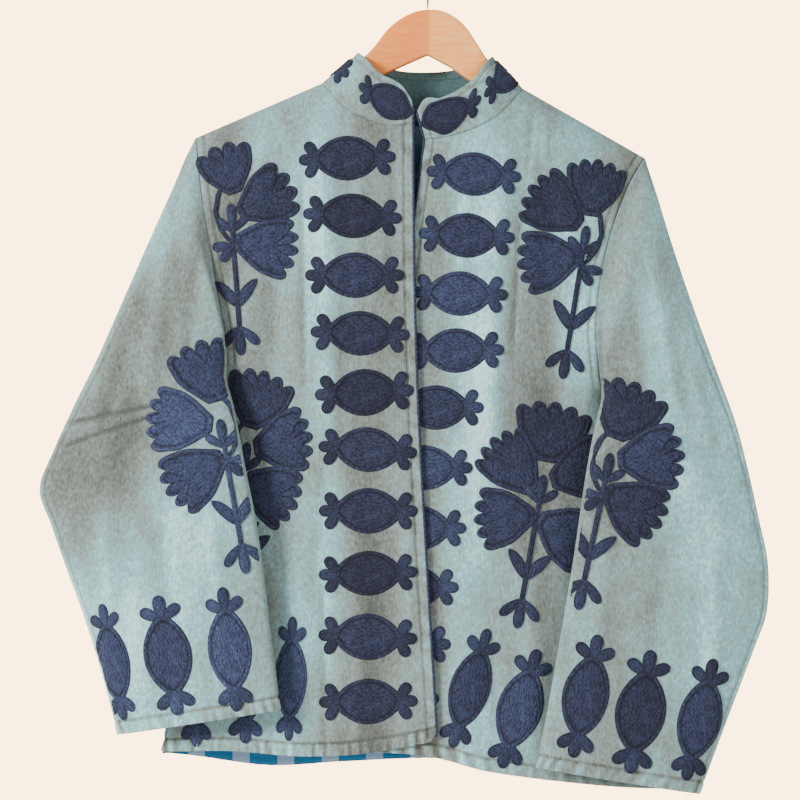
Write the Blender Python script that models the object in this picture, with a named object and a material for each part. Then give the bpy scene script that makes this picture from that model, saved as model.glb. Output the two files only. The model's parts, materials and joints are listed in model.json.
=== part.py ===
"""Velvet jacket with a stand collar, open front and long sleeves, hung on a wooden hanger.

Sizes are in millimetres in the tables and turned to metres when a mesh is made.
The front faces -Y, the wearer's right is -X, and the origin is under the top of the hook.
"""
import bmesh
import bpy
import numpy as np

MM = 0.001
WALL = 1.6            # velvet with its backing
LINING_WALL = 1.0     # thin cotton lining
SEAM = 0.4            # clear space left at each sewn seam
SHOULDER_ROLL = 70.0  # height over which the cloth turns over the shoulder
SIDE_POWER = 2.6      # how full the flattened body section is
UNDERARM = 0.41       # share of a panel's height at the underarm
NECK_SHARE = 0.42     # share of a front panel's width taken by the neck
LAP_STEP = 2.3        # how far the fronts part where they lap

# Neck seams. Columns: share from front edge to shoulder, x, z
RIGHT_NECK = ((0.0, -14.5, -169), (0.27, -38, -171), (0.51, -57.5, -164.5),
              (0.78, -80, -151.5), (1.0, -99, -130))
LEFT_NECK = ((0.0, -2.5, -184), (0.25, 20, -181), (0.52, 44.5, -173),
             (0.78, 69.5, -158), (1.0, 89, -135))
BACK_NECK = ((0.0, -99, -130), (0.16, -72, -149), (0.34, -36, -160), (0.5, 0, -163),
             (0.66, 34, -161), (0.84, 63, -152), (1.0, 89, -135))
# Shoulder tips: x, z
RIGHT_TIP = (-217, -181)
LEFT_TIP = (203, -200)
# Armholes from the tip to the underarm. Columns: share, x, z
RIGHT_ARMHOLE = ((0.0, -217, -181), (0.23, -212, -233), (0.46, -204, -283),
                 (0.69, -196, -334), (0.87, -189, -374), (1.0, -188, -404))
LEFT_ARMHOLE = ((0.0, 203, -200), (0.1, 190, -221), (0.2, 180, -244), (0.38, 167, -285),
                (0.58, 159, -330), (0.73, 157, -364), (0.88, 160, -396), (1.0, 163, -422))
RIGHT_BACK_ARMHOLE = ((0.0, -217, -181), (0.23, -213, -233), (0.46, -206, -283),
                      (0.69, -199, -334), (0.87, -191, -374), (1.0, -188, -404))
LEFT_BACK_ARMHOLE = ((0.0, 203, -200), (0.23, 193, -250), (0.46, 183, -302),
                     (0.69, 174, -352), (0.87, 167, -394), (1.0, 163, -422))
# Where the flattened body would close beside an armhole. Columns: height over the underarm, x
RIGHT_CLOSE = ((0, -188), (8, -199), (34, -212), (84, -222), (154, -236), (223, -243), (320, -246))
LEFT_CLOSE = ((0, 163), (8, 173), (30, 182), (61, 184), (95, 185), (140, 193), (185, 207), (225, 229),
              (330, 236))
# Front edges from the neck to the hem. Columns: share, x, z
RIGHT_EDGE = ((0.0, -14.5, -169), (0.2, -13.9, -284), (0.45, -10.2, -427),
              (0.69, -2.8, -565), (1.0, 8, -743))
LEFT_EDGE = ((0.0, -2.5, -184), (0.09, -9.3, -236), (0.245, -21, -327), (0.34, -27, -380),
             (0.43, -43, -433), (0.53, -54, -489), (0.72, -66, -600), (1.0, -89, -752))
# Hems. Columns: share, x, z
RIGHT_HEM = ((0.0, 8, -743), (0.28, -63, -755), (0.46, -110, -757.5),
             (0.77, -190, -753), (1.0, -249, -755))
LEFT_HEM = ((0.0, -89, -752), (0.31, 12, -760), (0.44, 53, -771), (0.59, 100, -778),
            (0.8, 169, -786), (1.0, 230, -790))
BACK_HEM = ((0.0, -249, -757), (0.07, -220, -761), (0.2, -153, -771), (0.35, -80, -768),
            (0.55, 14, -765), (0.72, 100, -772), (0.86, 170, -781), (1.0, 230, -790))
# Half depth of the flattened body. Columns: z, front, back
DEPTH = ((-800, 22, 26), (-600, 22, 25), (-420, 21, 23), (-250, 22, 23), (-100, 24, 25))
# Large soft folds. Columns: top x, top z, bottom x, bottom z, half width, height
FRONT_FOLDS = ((-96, -150, -92, -430, 13, 3.2), (-125, -160, -150, -420, 14, -2.4),
               (-58, -420, -40, -740, 17, -2.2), (75, -165, 60, -450, 14, 3.0),
               (112, -170, 122, -520, 15, -2.6), (20, -430, 40, -760, 16, 2.4),
               (90, -560, 105, -775, 14, 3.0), (-120, -560, -125, -750, 15, 2.6))
BACK_FOLDS = ((-80, -190, -90, -600, 18, 3.0), (70, -200, 85, -640, 18, 3.2),
              (-10, -400, -5, -740, 20, -2.6), (140, -420, 150, -760, 16, 2.6),
              (-150, -430, -160, -740, 16, -2.4))
# Top edge of the collar from the right front end round the back. Columns: share, x, y, z
COLLAR_TOP = ((0.0, -14.6, -22.5, -149), (0.03, -21, -22, -137.5), (0.12, -44.4, -19.5, -122),
              (0.22, -58, -13.5, -107), (0.3, -64.5, 0, -100.7), (0.37, -57, 12, -105),
              (0.43, -33, 19, -114), (0.5, -2, 22, -116.5), (0.57, 29, 19, -114),
              (0.63, 53, 12, -109), (0.7, 60, 0, -104.4), (0.78, 54, -13.5, -111),
              (0.86, 39.8, -18.5, -129.4), (0.94, 12, -22.5, -145),
              (0.985, -5.2, -23.5, -148.5), (1.0, -10, -23.5, -157))
COLLAR_TURNS = (0.3, 0.7)   # shares of the collar at the two shoulder seams
# Sleeve rings. Columns: share, outer x, y, z, inner x, y, z,
# hold of the armhole's shape, front bow, front depth, back depth
RIGHT_SLEEVE = (
    (0.00, -217, 0, -181, -188, 0, -404, 1.0, 0, 0, 0),
    (0.04, -226, -1, -199, -192, -2.5, -402, 1.0, 4, 4, 1.5),
    (0.09, -236, -2, -223, -194.5, -5.5, -403.5, 0.9, 11, 8, 3),
    (0.14, -246, -4, -246, -195.5, -8, -405, 0.7, 14, 9, 4),
    (0.20, -258, -6, -273, -195, -10.5, -406.5, 0.45, 14, 10, 4),
    (0.27, -271, -8, -303, -193.5, -13, -409, 0.22, 14, 11, 5),
    (0.34, -288, -10, -342, -191, -16, -413, 0.08, 12, 11, 6),
    (0.42, -309, -12, -390, -186, -20.5, -421, 0.0, 8, 11, 7),
    (0.50, -332, -13, -437, -180.5, -26, -436, 0.0, 3, 11, 8),
    (0.56, -349, -14, -475, -176, -31, -456, 0.0, 0, 11, 8),
    (0.61, -361, -14, -506, -170, -35, -487, 0.0, 0, 11, 8),
    (0.68, -350, -15, -543, -161, -36, -531, 0.0, 0, 11, 8),
    (0.76, -334, -16, -588, -153, -36, -583, 0.0, 0, 11, 8),
    (0.84, -318, -17, -632, -147.5, -36, -632, 0.0, 0, 11, 8),
    (0.92, -302, -18, -683, -142, -37, -673, 0.0, 0, 11, 8),
    (1.00, -288, -19, -737, -137, -38, -712, 0.0, 0, 11, 8))
LEFT_SLEEVE = (
    (0.00, 203, 0, -200, 163, 0, -422, 1.0, 0, 0, 0),
    (0.04, 206.5, -1, -211, 167, -2.5, -420, 0.8, 0, 1, 1.5),
    (0.08, 210, -2, -222, 169, -5, -421, 0.6, 1, 7, 3),
    (0.14, 216, -4, -241, 170, -8, -423, 0.5, 6, 10, 4),
    (0.20, 222, -6, -262, 169.5, -10.5, -424.5, 0.38, 10, 11, 4),
    (0.27, 234, -8, -300, 168, -13, -427, 0.2, 13, 11, 5),
    (0.34, 250, -10, -347, 165, -16, -431, 0.08, 11, 11, 6),
    (0.42, 269, -12, -399, 160, -20.5, -439.5, 0.0, 7, 11, 7),
    (0.50, 287, -13, -449, 155, -26, -455, 0.0, 3, 11, 8),
    (0.57, 298, -14, -492, 150, -31.5, -477, 0.0, 0, 11, 8),
    (0.64, 308, -15, -538, 143.5, -35.5, -515, 0.0, 0, 11, 8),
    (0.71, 316, -16, -578, 137, -36.5, -560, 0.0, 0, 11, 8),
    (0.78, 315, -17, -622, 130, -36.5, -604, 0.0, 0, 11, 8),
    (0.85, 303, -18, -657, 122.5, -37, -648, 0.0, 0, 11, 8),
    (0.92, 279, -19, -720, 111, -38, -712, 0.0, 0, 11, 8),
    (1.00, 252, -20, -792, 100, -39, -765, 0.0, 0, 11, 8))
# Hanger sections. Columns: x, top z, bottom z, half thickness, centre y, squareness
HANGER = ((-194, -175.6, -189, 3.2, 0, 2.1), (-150, -156, -177, 4.2, 0, 2.2),
          (-110, -139.5, -162, 4.5, 0, 2.3), (-85, -128.5, -151, 4.5, 0, 2.6),
          (-70, -115, -140, 4.8, -0.5, 3), (-59, -104, -131, 5.5, -0.6, 5),
          (-51, -96, -126.5, 6, -0.3, 8), (-38, -79.4, -120, 6, 0.6, 8),
          (-21, -66.2, -112, 6, 2, 8), (0, -60, -102.5, 6, 4, 8), (21, -64.5, -114, 6, 2, 8),
          (36.5, -77.7, -125.5, 6, 0.6, 8), (46.5, -92.6, -132, 6, -0.3, 8),
          (55, -105.8, -137, 5.5, -0.6, 5), (66, -118, -143, 4.8, -0.5, 3),
          (80, -133, -156, 4.5, 0, 2.6), (103, -148, -170, 4.5, 0, 2.3),
          (140, -168.3, -190, 4.2, 0, 2.2), (181, -191.5, -205, 3.2, 0, 2.1))
# Hook
HOOK_INSIDE = 20.0    # inside radius of the bend
WIRE = 1.8            # wire radius
HOOK_START = -60.0    # first angle of the bend, degrees from +X
HOOK_END = 205.0      # last angle of the bend
STRIP_RADIUS = 1.0    # rolled edge strip

COLOURS = {
    "velvet": (0.36, 0.46, 0.44, 1.0),
    "lining": (0.06, 0.26, 0.44, 1.0),
    "strip": (0.05, 0.08, 0.2, 1.0),
    "wood": (0.72, 0.42, 0.22, 1.0),
    "steel": (0.6, 0.6, 0.62, 1.0),
}


def smooth(rows, at):
    """Cubic curve through the rows; the first column is the share along it."""
    table = np.asarray(rows, float)
    key, val = table[:, 0], table[:, 1:]
    slope = np.gradient(val, key, axis=0)
    at = np.clip(np.asarray(at, float), key[0], key[-1])
    i = np.clip(np.searchsorted(key, at, side="right") - 1, 0, len(key) - 2)
    span = (key[i + 1] - key[i])[..., None]
    t = (at - key[i])[..., None] / span
    rise = val[i + 1] - val[i]
    bend = (slope[i] * (1 - t) - slope[i + 1] * t) * span - rise * (1 - 2 * t)
    return val[i] + rise * t + t * (1 - t) * bend


def shoulder_z(x):
    """Height of the shoulder seam at x, carried on over the neck."""
    r_slope = (RIGHT_TIP[1] - RIGHT_NECK[-1][2]) / (RIGHT_TIP[0] - RIGHT_NECK[-1][1])
    l_slope = (LEFT_TIP[1] - LEFT_NECK[-1][2]) / (LEFT_TIP[0] - LEFT_NECK[-1][1])
    right = RIGHT_TIP[1] + (x - RIGHT_TIP[0]) * r_slope
    left = LEFT_TIP[1] + (x - LEFT_TIP[0]) * l_slope
    return np.minimum(right, left)


def side_x(z, hem, close):
    """X at which the flattened body closes: the side seam, or beside the armhole above it."""
    low = np.array(hem, float)
    top = np.array(close[0][1], float)
    under = RIGHT_ARMHOLE[-1][2] if top < 0 else LEFT_ARMHOLE[-1][2]
    seam = top + (low[0] - top) * (z - under) / (low[1] - under)
    return np.where(z < under, seam, smooth(close, z - under)[..., 0])


def folds(rows, x, z):
    """Sum of soft ridges and troughs, each fading out at both ends."""
    out = np.zeros_like(x)
    for x0, z0, x1, z1, width, height in rows:
        t = (z - z0) / (z1 - z0)
        across = (x - x0 - (x1 - x0) * t) / width
        along = np.clip(t * 4, 0, 1) * np.clip((1.15 - t) * 4, 0, 1)
        out += height * np.exp(-across ** 2) * along ** 2 * (3 - 2 * along)
    return out


def body_y(x, z, back=False):
    """Depth of the flattened body: full in the middle, closing at sides and shoulders."""
    right = side_x(z, RIGHT_HEM[-1][1:], RIGHT_CLOSE)
    left = side_x(z, LEFT_HEM[-1][1:], LEFT_CLOSE)
    share = np.clip(np.where(x < 0, x / right, x / left), 0, 1)
    depth = smooth(DEPTH, z)[..., 1 if back else 0]
    drop = np.clip((shoulder_z(x) - z) / SHOULDER_ROLL, 0, 1)
    close = np.sqrt(1 - share ** SIDE_POWER) * np.sqrt(1 - (1 - drop) ** 2)
    rows = BACK_FOLDS if back else FRONT_FOLDS
    full = depth + folds(rows, x, z)
    y = full * close + SEAM / 2
    return y if back else -y


def ease(t):
    t = np.clip(t, 0, 1)
    return t * t * (3 - 2 * t)


def lap(x, z, right):
    """Depth step that parts the two fronts where the right one lies over the left."""
    drop = ease((-150 - z) / 60)
    if right:
        return -LAP_STEP * ease((x + 130) / 70) * drop
    return LAP_STEP * ease((70 - x) / 80) * drop


def patch(low, high, top, hem, u, v):
    """Flat panel filled between its four edges; low and high run down, top and hem across."""
    uu = u[None, :, None]
    vv = v[:, None, None]
    a, b = low(v)[:, None, :], high(v)[:, None, :]
    c, d = top(u)[None, :, :], hem(u)[None, :, :]
    ends = np.array([0.0, 1.0])
    (p00, p10), (p01, p11) = top(ends), hem(ends)
    corner = (p00 * (1 - uu) + p10 * uu) * (1 - vv) + (p01 * (1 - uu) + p11 * uu) * vv
    return a * (1 - uu) + b * uu + c * (1 - vv) + d * vv - corner


def side_edge(armhole, hem_point):
    """Armhole from the tip to the underarm, then the straight side seam."""
    def edge(v):
        arm = smooth(armhole, v / UNDERARM)
        under = np.array(armhole[-1][1:], float)
        share = np.clip((v - UNDERARM) / (1 - UNDERARM), 0, 1)[:, None]
        seam = under + (np.array(hem_point, float) - under) * share
        return np.where((v < UNDERARM)[:, None], arm, seam)
    return edge


def front_top(neck, tip):
    """Neck seam from the front edge, then the straight shoulder seam."""
    def edge(u):
        curve = smooth(neck, u / NECK_SHARE)
        start = np.array(neck[-1][1:], float)
        share = np.clip((u - NECK_SHARE) / (1 - NECK_SHARE), 0, 1)[:, None]
        seam = start + (np.array(tip, float) - start) * share
        return np.where((u < NECK_SHARE)[:, None], curve, seam)
    return edge


BACK_TURNS = (0.27, 0.73)   # shares of the back's width at the two neck points


def back_top(u):
    """Right shoulder, back neck, left shoulder."""
    lo, hi = BACK_TURNS
    neck = smooth(BACK_NECK, (u - lo) / (hi - lo))
    right = np.array(RIGHT_TIP, float)
    left = np.array(LEFT_TIP, float)
    start = np.array(BACK_NECK[0][1:], float)
    stop = np.array(BACK_NECK[-1][1:], float)
    r_share = np.clip(u / lo, 0, 1)[:, None]
    l_share = np.clip((u - hi) / (1 - hi), 0, 1)[:, None]
    out = np.where((u < lo)[:, None], right + (start - right) * r_share, neck)
    return np.where((u > hi)[:, None], stop + (left - stop) * l_share, out)


def table_edge(rows):
    return lambda t: smooth(rows, t)


def front_panel(right, u, v):
    """Middle surface of a front: rows down, columns from the front edge to the side."""
    if right:
        flat = patch(table_edge(RIGHT_EDGE), side_edge(RIGHT_ARMHOLE, RIGHT_HEM[-1][1:]),
                     front_top(RIGHT_NECK, RIGHT_TIP), table_edge(RIGHT_HEM), u, v)
    else:
        flat = patch(table_edge(LEFT_EDGE), side_edge(LEFT_ARMHOLE, LEFT_HEM[-1][1:]),
                     front_top(LEFT_NECK, LEFT_TIP), table_edge(LEFT_HEM), u, v)
    x, z = flat[..., 0], flat[..., 1]
    y = body_y(x, z) + lap(x, z, right)
    return np.stack((x, y, z), -1)


def back_panel(u, v):
    """Middle surface of the back: rows down, columns from the right side to the left."""
    flat = patch(side_edge(RIGHT_BACK_ARMHOLE, BACK_HEM[0][1:]),
                 side_edge(LEFT_BACK_ARMHOLE, BACK_HEM[-1][1:]),
                 back_top, table_edge(BACK_HEM), u, v)
    x, z = flat[..., 0], flat[..., 1]
    return np.stack((x, body_y(x, z, True), z), -1)


def unit(a):
    return a / np.maximum(np.linalg.norm(a, axis=-1, keepdims=True), 1e-9)


def normals(points, around=False):
    """Unit normals of a grid of points; around joins its last column to its first."""
    if around:
        wide = np.concatenate((points[:, -1:], points, points[:, :1]), 1)
        across = wide[:, 2:] - wide[:, :-2]
    else:
        across = np.gradient(points, axis=1)
    down = np.gradient(points, axis=0)
    return unit(np.cross(across, down))


def armhole_loop(front, back, theta):
    """Armhole seam by angle: 0 at the shoulder tip, pi at the underarm, front first."""
    share = np.where(theta <= np.pi, theta, 2 * np.pi - theta) / np.pi
    ahead = (theta <= np.pi)[..., None]
    flat = np.where(ahead, smooth(front, share), smooth(back, share))
    x, z = flat[..., 0], flat[..., 1]
    y = np.where(ahead[..., 0], body_y(x, z), body_y(x, z, True))
    tip = np.sin(np.clip(share, 0, 1) * np.pi) < 1e-6
    return np.stack((x, np.where(tip, 0, y), z), -1)


def sleeve_surface(rows, front, back, theta, t):
    """Middle surface of a sleeve: rings at shares t, points at angles theta."""
    ring = smooth(rows, t)[:, None, :]
    outer, inner = ring[..., 0:3], ring[..., 3:6]
    hold, bow = ring[..., 6:7], ring[..., 7]
    ahead, behind = ring[..., 8], ring[..., 9]
    angle = theta[None, :]
    along = ((1 - np.cos(angle)) / 2)[..., None]
    first = np.asarray(rows[0], float)
    start = first[1:4] + (first[4:7] - first[1:4]) * along
    shape = armhole_loop(front, back, angle) - start
    point = outer + (inner - outer) * along + hold * shape
    swell = np.abs(np.sin(angle)) ** 0.7
    is_front = angle <= np.pi
    inward = -np.sign(first[1])
    point[..., 0] += np.where(is_front, inward * bow * np.abs(np.sin(angle)) ** 0.6, 0)
    point[..., 1] += np.where(is_front, -ahead, behind) * swell
    gap = unit(point[1] - point[0])
    under = along[0] ** 20
    tip = (1 - along[0, :, 0]) ** 8
    point[0] += gap * (SEAM + WALL * np.abs(gap[:, 1:2]) + 0.6 * WALL * under)
    point[0, :, 0] -= inward * WALL * (0.15 + 0.75 * tip)
    return point


def collar_seam(share):
    """Neck seam by share of the collar, from the right front end round the back."""
    lo, hi = COLLAR_TURNS
    right = smooth(RIGHT_NECK, share / lo)
    rear = smooth(BACK_NECK, (share - lo) / (hi - lo))
    left = smooth(LEFT_NECK, (1 - share) / (1 - hi))
    on_right = (share < lo)[:, None]
    on_left = (share > hi)[:, None]
    flat = np.where(on_right, right, np.where(on_left, left, rear))
    x, z = flat[:, 0], flat[:, 1]
    ahead = body_y(x, z) + np.where(share < lo, lap(x, z, True), lap(x, z, False))
    y = np.where((share < lo) | (share > hi), ahead, body_y(x, z, True))
    turn = np.minimum(np.abs(share - lo), np.abs(share - hi)) < 1e-6
    return np.stack((x, np.where(turn, 0, y), z), -1)


def collar_surface(share, rise):
    """Middle surface of the collar: rows up from the seam, columns along it."""
    low = collar_seam(share)
    high = smooth(COLLAR_TOP, share)
    way = high - low
    low = low + unit(way) * (SEAM + WALL / 2)
    r = rise[:, None, None]
    out = low[None] + (high - low)[None] * r
    out[..., 1] -= np.sign(low[None, :, 1]) * -1.5 * np.sin(np.pi * rise)[:, None]
    return out


def material(name):
    mat = bpy.data.materials.new(name)
    mat.use_nodes = True
    bsdf = mat.node_tree.nodes["Principled BSDF"]
    bsdf.inputs["Base Color"].default_value = COLOURS[name]
    bsdf.inputs["Roughness"].default_value = 0.8
    mat.diffuse_color = COLOURS[name]
    return mat


def add_mesh(name, verts, faces, mat):
    mesh = bpy.data.meshes.new(name)
    mesh.from_pydata((np.asarray(verts) * MM).tolist(), [], faces)
    solid = bmesh.new()
    solid.from_mesh(mesh)
    if solid.calc_volume(signed=True) < 0:
        bmesh.ops.reverse_faces(solid, faces=solid.faces)
    solid.to_mesh(mesh)
    solid.free()
    mesh.update()
    obj = bpy.data.objects.new(name, mesh)
    mesh.materials.append(mat)
    PARTS.objects.link(obj)
    return obj


def add_shell(name, mid, nrm, wall, mat, around=False):
    """Closed thin shell: the middle surface moved out and in by half the wall."""
    rows, cols = mid.shape[:2]
    count = rows * cols
    verts = np.concatenate(((mid + nrm * wall / 2).reshape(-1, 3),
                            (mid - nrm * wall / 2).reshape(-1, 3)))
    faces = []
    spans = cols if around else cols - 1
    for i in range(rows - 1):
        for j in range(spans):
            k = (j + 1) % cols
            a, b, c, d = i * cols + j, i * cols + k, (i + 1) * cols + k, (i + 1) * cols + j
            faces.append((a, d, c, b))
            faces.append((a + count, b + count, c + count, d + count))
    for j in range(spans):
        k = (j + 1) % cols
        faces.append((j, k, k + count, j + count))
        low = (rows - 1) * cols
        faces.append((low + k, low + j, low + j + count, low + k + count))
    if not around:
        for i in range(rows - 1):
            a, d = i * cols, (i + 1) * cols
            faces.append((d, a, a + count, d + count))
            b, c = a + cols - 1, d + cols - 1
            faces.append((b, c, c + count, b + count))
    return add_mesh(name, verts, faces, mat)


def add_loft(name, rings, mat):
    """Closed solid through rings of equal count, capped at both ends."""
    rows, cols = rings.shape[:2]
    faces = []
    for i in range(rows - 1):
        for j in range(cols):
            k = (j + 1) % cols
            faces.append((i * cols + j, i * cols + k, (i + 1) * cols + k, (i + 1) * cols + j))
    faces.append(tuple(range(cols - 1, -1, -1)))
    faces.append(tuple(range((rows - 1) * cols, rows * cols)))
    return add_mesh(name, rings.reshape(-1, 3), faces, mat)


def add_tube(name, path, radius, mat, resolution=2):
    """Round wire along a path, as a filled curve turned to a mesh."""
    curve = bpy.data.curves.new(name, "CURVE")
    curve.dimensions = "3D"
    curve.bevel_depth = radius * MM
    curve.bevel_resolution = resolution
    curve.use_fill_caps = True
    spline = curve.splines.new("POLY")
    spline.points.add(len(path) - 1)
    for point, place in zip(spline.points, path):
        point.co = (*(np.asarray(place) * MM), 1.0)
    obj = bpy.data.objects.new(name, curve)
    curve.materials.append(mat)
    PARTS.objects.link(obj)
    return obj


def shares(*runs):
    """Stations from runs of (start, stop, steps), each stop shared with the next start."""
    out = [np.linspace(a, b, n, endpoint=False) for a, b, n in runs]
    return np.append(np.concatenate(out), runs[-1][1])


ARMHOLE_V = shares((0, 0.02, 2), (0.02, 0.1, 3), (0.1, 0.36, 4), (0.36, UNDERARM, 3))
FRONT_V = np.append(ARMHOLE_V, np.linspace(UNDERARM, 1, 10)[1:])
BACK_V = np.append(ARMHOLE_V, np.linspace(UNDERARM, 1, 8)[1:])
COLLAR_RISE = np.linspace(0, 1, 6)


def build_fronts(mat):
    u = shares((0, NECK_SHARE, 6), (NECK_SHARE, 0.88, 6), (0.88, 0.97, 2), (0.97, 1, 2))
    v = FRONT_V
    for right in (True, False):
        mid = front_panel(right, u, v)
        nrm = normals(mid)
        nrm *= np.sign(-nrm[6, 4, 1])
        nrm[0, u >= NECK_SHARE] = (0, 0, 1)
        nrm[v >= UNDERARM, -1] = (-1 if right else 1, 0, 0)
        add_shell("right_front" if right else "left_front", mid, nrm, WALL, mat)


def build_back(mat, lining):
    lo, hi = BACK_TURNS
    u = shares((0, 0.015, 1), (0.015, 0.06, 2), (0.06, lo, 4), (lo, hi, 10), (hi, 0.94, 4),
               (0.94, 0.985, 2), (0.985, 1, 1))
    v = BACK_V
    mid = back_panel(u, v)
    nrm = normals(mid)
    nrm *= np.sign(nrm[6, 10, 1])
    nrm[0, (u <= lo) | (u >= hi)] = (0, 0, 1)
    nrm[v >= UNDERARM, 0] = (-1, 0, 0)
    nrm[v >= UNDERARM, -1] = (1, 0, 0)
    add_shell("back", mid, nrm, WALL, mat)
    inside = (u > 0.05) & (u < 0.95)
    below = v > 0.09
    inset = (WALL + LINING_WALL) / 2 + SEAM
    cloth = (mid - nrm * inset)[below][:, inside]
    cloth[-1] += (cloth[-2] - cloth[-1]) * 0.05
    add_shell("back_lining", cloth, nrm[below][:, inside], LINING_WALL, lining)


def build_sleeves(mat):
    half = ARMHOLE_V * np.pi / UNDERARM
    theta = np.append(half, 2 * np.pi - half[-2:0:-1])
    t = np.array([0.0, 0.05, 0.12, 0.22, 0.31, 0.39, 0.47, 0.54, 0.61, 0.68, 0.76, 0.84, 0.92,
                  1.0])
    sides = (("right_sleeve", RIGHT_SLEEVE, RIGHT_ARMHOLE, RIGHT_BACK_ARMHOLE),
             ("left_sleeve", LEFT_SLEEVE, LEFT_ARMHOLE, LEFT_BACK_ARMHOLE))
    for name, rows, front, back in sides:
        mid = sleeve_surface(rows, front, back, theta, t)
        nrm = normals(mid, True)
        nrm *= np.sign(-nrm[12, 6, 1])
        add_shell(name, mid, nrm, WALL, mat, True)


def build_collar(mat):
    lo, hi = COLLAR_TURNS
    share = shares((0, 0.03, 1), (0.03, lo, 8), (lo, hi, 12), (hi, 0.985, 8), (0.985, 1, 1))
    mid = collar_surface(share, COLLAR_RISE)
    nrm = normals(mid)
    nrm *= np.sign(nrm[3, 15, 1])
    add_shell("collar", mid, nrm, WALL, mat)


def build_strips(mat):
    for right in (True, False):
        mid = front_panel(right, np.array([0.0, 0.02]), FRONT_V)
        out = unit(mid[:, 0] - mid[:, 1])
        path = mid[:, 0] + out * (STRIP_RADIUS + SEAM)
        end = np.array([0.0, 0.004]) if right else np.array([1.0, 0.996])
        band = collar_surface(end, COLLAR_RISE[::-1])
        away = band[:, 0] - band[:, 1]
        along = unit(np.gradient(band[:, 0], axis=0))
        away = unit(away - along * np.sum(away * along, -1, keepdims=True))
        top = band[:, 0] + away * (STRIP_RADIUS + SEAM)
        path = np.concatenate((top[1:-1], path[1:]))
        add_tube("right_edge_strip" if right else "left_edge_strip", path, STRIP_RADIUS, mat, 1)


def build_hanger(wood, steel):
    rows = np.asarray(HANGER, float)
    x = np.unique(np.concatenate((rows[:, 0], np.linspace(-44, 44, 12))))
    top = smooth(rows[:, :2], x)[:, 0]
    rest = [np.interp(x, rows[:, 0], rows[:, k]) for k in range(2, 6)]
    low, half, centre, square = rest
    angle = np.linspace(0, 2 * np.pi, 16, endpoint=False) + np.pi / 16
    cos, sin = np.cos(angle)[None], np.sin(angle)[None]
    power = 2 / square[:, None]
    y = centre[:, None] + half[:, None] * np.sign(cos) * np.abs(cos) ** power
    z = ((top + low) / 2)[:, None] + ((top - low) / 2)[:, None] * np.sign(sin) * np.abs(sin) ** power
    rings = np.stack((np.broadcast_to(x[:, None], y.shape), y, z), -1)
    add_loft("hanger", rings, wood)
    bend = HOOK_INSIDE + WIRE
    turn = np.radians(np.linspace(HOOK_START, HOOK_END, 22))
    arc = np.stack((bend * np.cos(turn), 0 * turn, bend * np.sin(turn) - HOOK_INSIDE), -1)
    foot = np.array([0, HANGER[9][4], HANGER[9][1] + SEAM])
    knee = np.array([0, HANGER[9][4] / 2, arc[0, 2] - 8])
    s = np.linspace(0, 1, 6)[1:-1, None]
    join = knee * (1 - s) ** 2 + (arc[0] - (7, 0, 4)) * 2 * s * (1 - s) + arc[0] * s ** 2
    add_tube("hanger_hook", np.concatenate((foot[None], knee[None], join, arc)), WIRE, steel)


for old in list(bpy.data.objects):
    bpy.data.objects.remove(old, do_unlink=True)
PARTS = bpy.data.collections.new("velvet_jacket")
bpy.context.scene.collection.children.link(PARTS)

velvet = material("velvet")
cotton = material("lining")
build_fronts(velvet)
build_back(velvet, cotton)
build_sleeves(velvet)
build_collar(velvet)
build_strips(material("strip"))
build_hanger(material("wood"), material("steel"))
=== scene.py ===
"""Looks of the velvet jacket on its wooden hanger: cloth, embroidery, finishes and stage.

Shapes are worked out in millimetres and turned to metres when a mesh is made. The front faces -Y,
the wearer's right is -X, and the origin is under the top of the hook.
"""
import json

import bpy
import numpy as np
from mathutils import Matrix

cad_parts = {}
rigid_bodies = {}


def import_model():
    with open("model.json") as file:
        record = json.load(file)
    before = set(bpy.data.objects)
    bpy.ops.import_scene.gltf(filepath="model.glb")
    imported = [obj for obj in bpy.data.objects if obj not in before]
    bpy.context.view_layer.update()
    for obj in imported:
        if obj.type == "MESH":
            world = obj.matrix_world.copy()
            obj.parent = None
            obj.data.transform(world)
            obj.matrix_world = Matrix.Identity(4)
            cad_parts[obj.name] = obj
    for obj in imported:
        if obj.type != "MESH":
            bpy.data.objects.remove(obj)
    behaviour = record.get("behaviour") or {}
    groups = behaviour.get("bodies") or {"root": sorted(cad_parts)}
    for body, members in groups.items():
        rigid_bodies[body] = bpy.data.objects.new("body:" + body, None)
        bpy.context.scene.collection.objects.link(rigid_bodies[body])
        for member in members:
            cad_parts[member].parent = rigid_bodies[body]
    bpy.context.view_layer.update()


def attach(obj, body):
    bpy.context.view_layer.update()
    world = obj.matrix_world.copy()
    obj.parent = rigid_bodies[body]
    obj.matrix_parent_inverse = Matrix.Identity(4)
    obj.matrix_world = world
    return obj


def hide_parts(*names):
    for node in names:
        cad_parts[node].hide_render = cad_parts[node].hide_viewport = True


bl_info = {
    "name": "Velvet jacket on a hanger",
    "version": (1, 0, 0),
    "blender": (4, 5, 0),
    "location": "View3D > Sidebar > Jacket",
    "description": "Builds the cloth, embroidery and hanger of a hung velvet jacket",
    "category": "Add Mesh",
}

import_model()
MM = 0.001

# Form of the jacket, as in the part's source. Neck seams: share from front edge to shoulder, x, z
RIGHT_NECK = ((0.0, -14.5, -169), (0.27, -38, -171), (0.51, -57.5, -164.5),
              (0.78, -80, -151.5), (1.0, -99, -130))
LEFT_NECK = ((0.0, -2.5, -184), (0.25, 20, -181), (0.52, 44.5, -173),
             (0.78, 69.5, -158), (1.0, 89, -135))
BACK_NECK = ((0.0, -99, -130), (0.16, -72, -149), (0.34, -36, -160), (0.5, 0, -163),
             (0.66, 34, -161), (0.84, 63, -152), (1.0, 89, -135))
# Shoulder tips: x, z
RIGHT_TIP = (-217, -181)
LEFT_TIP = (203, -200)
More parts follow.
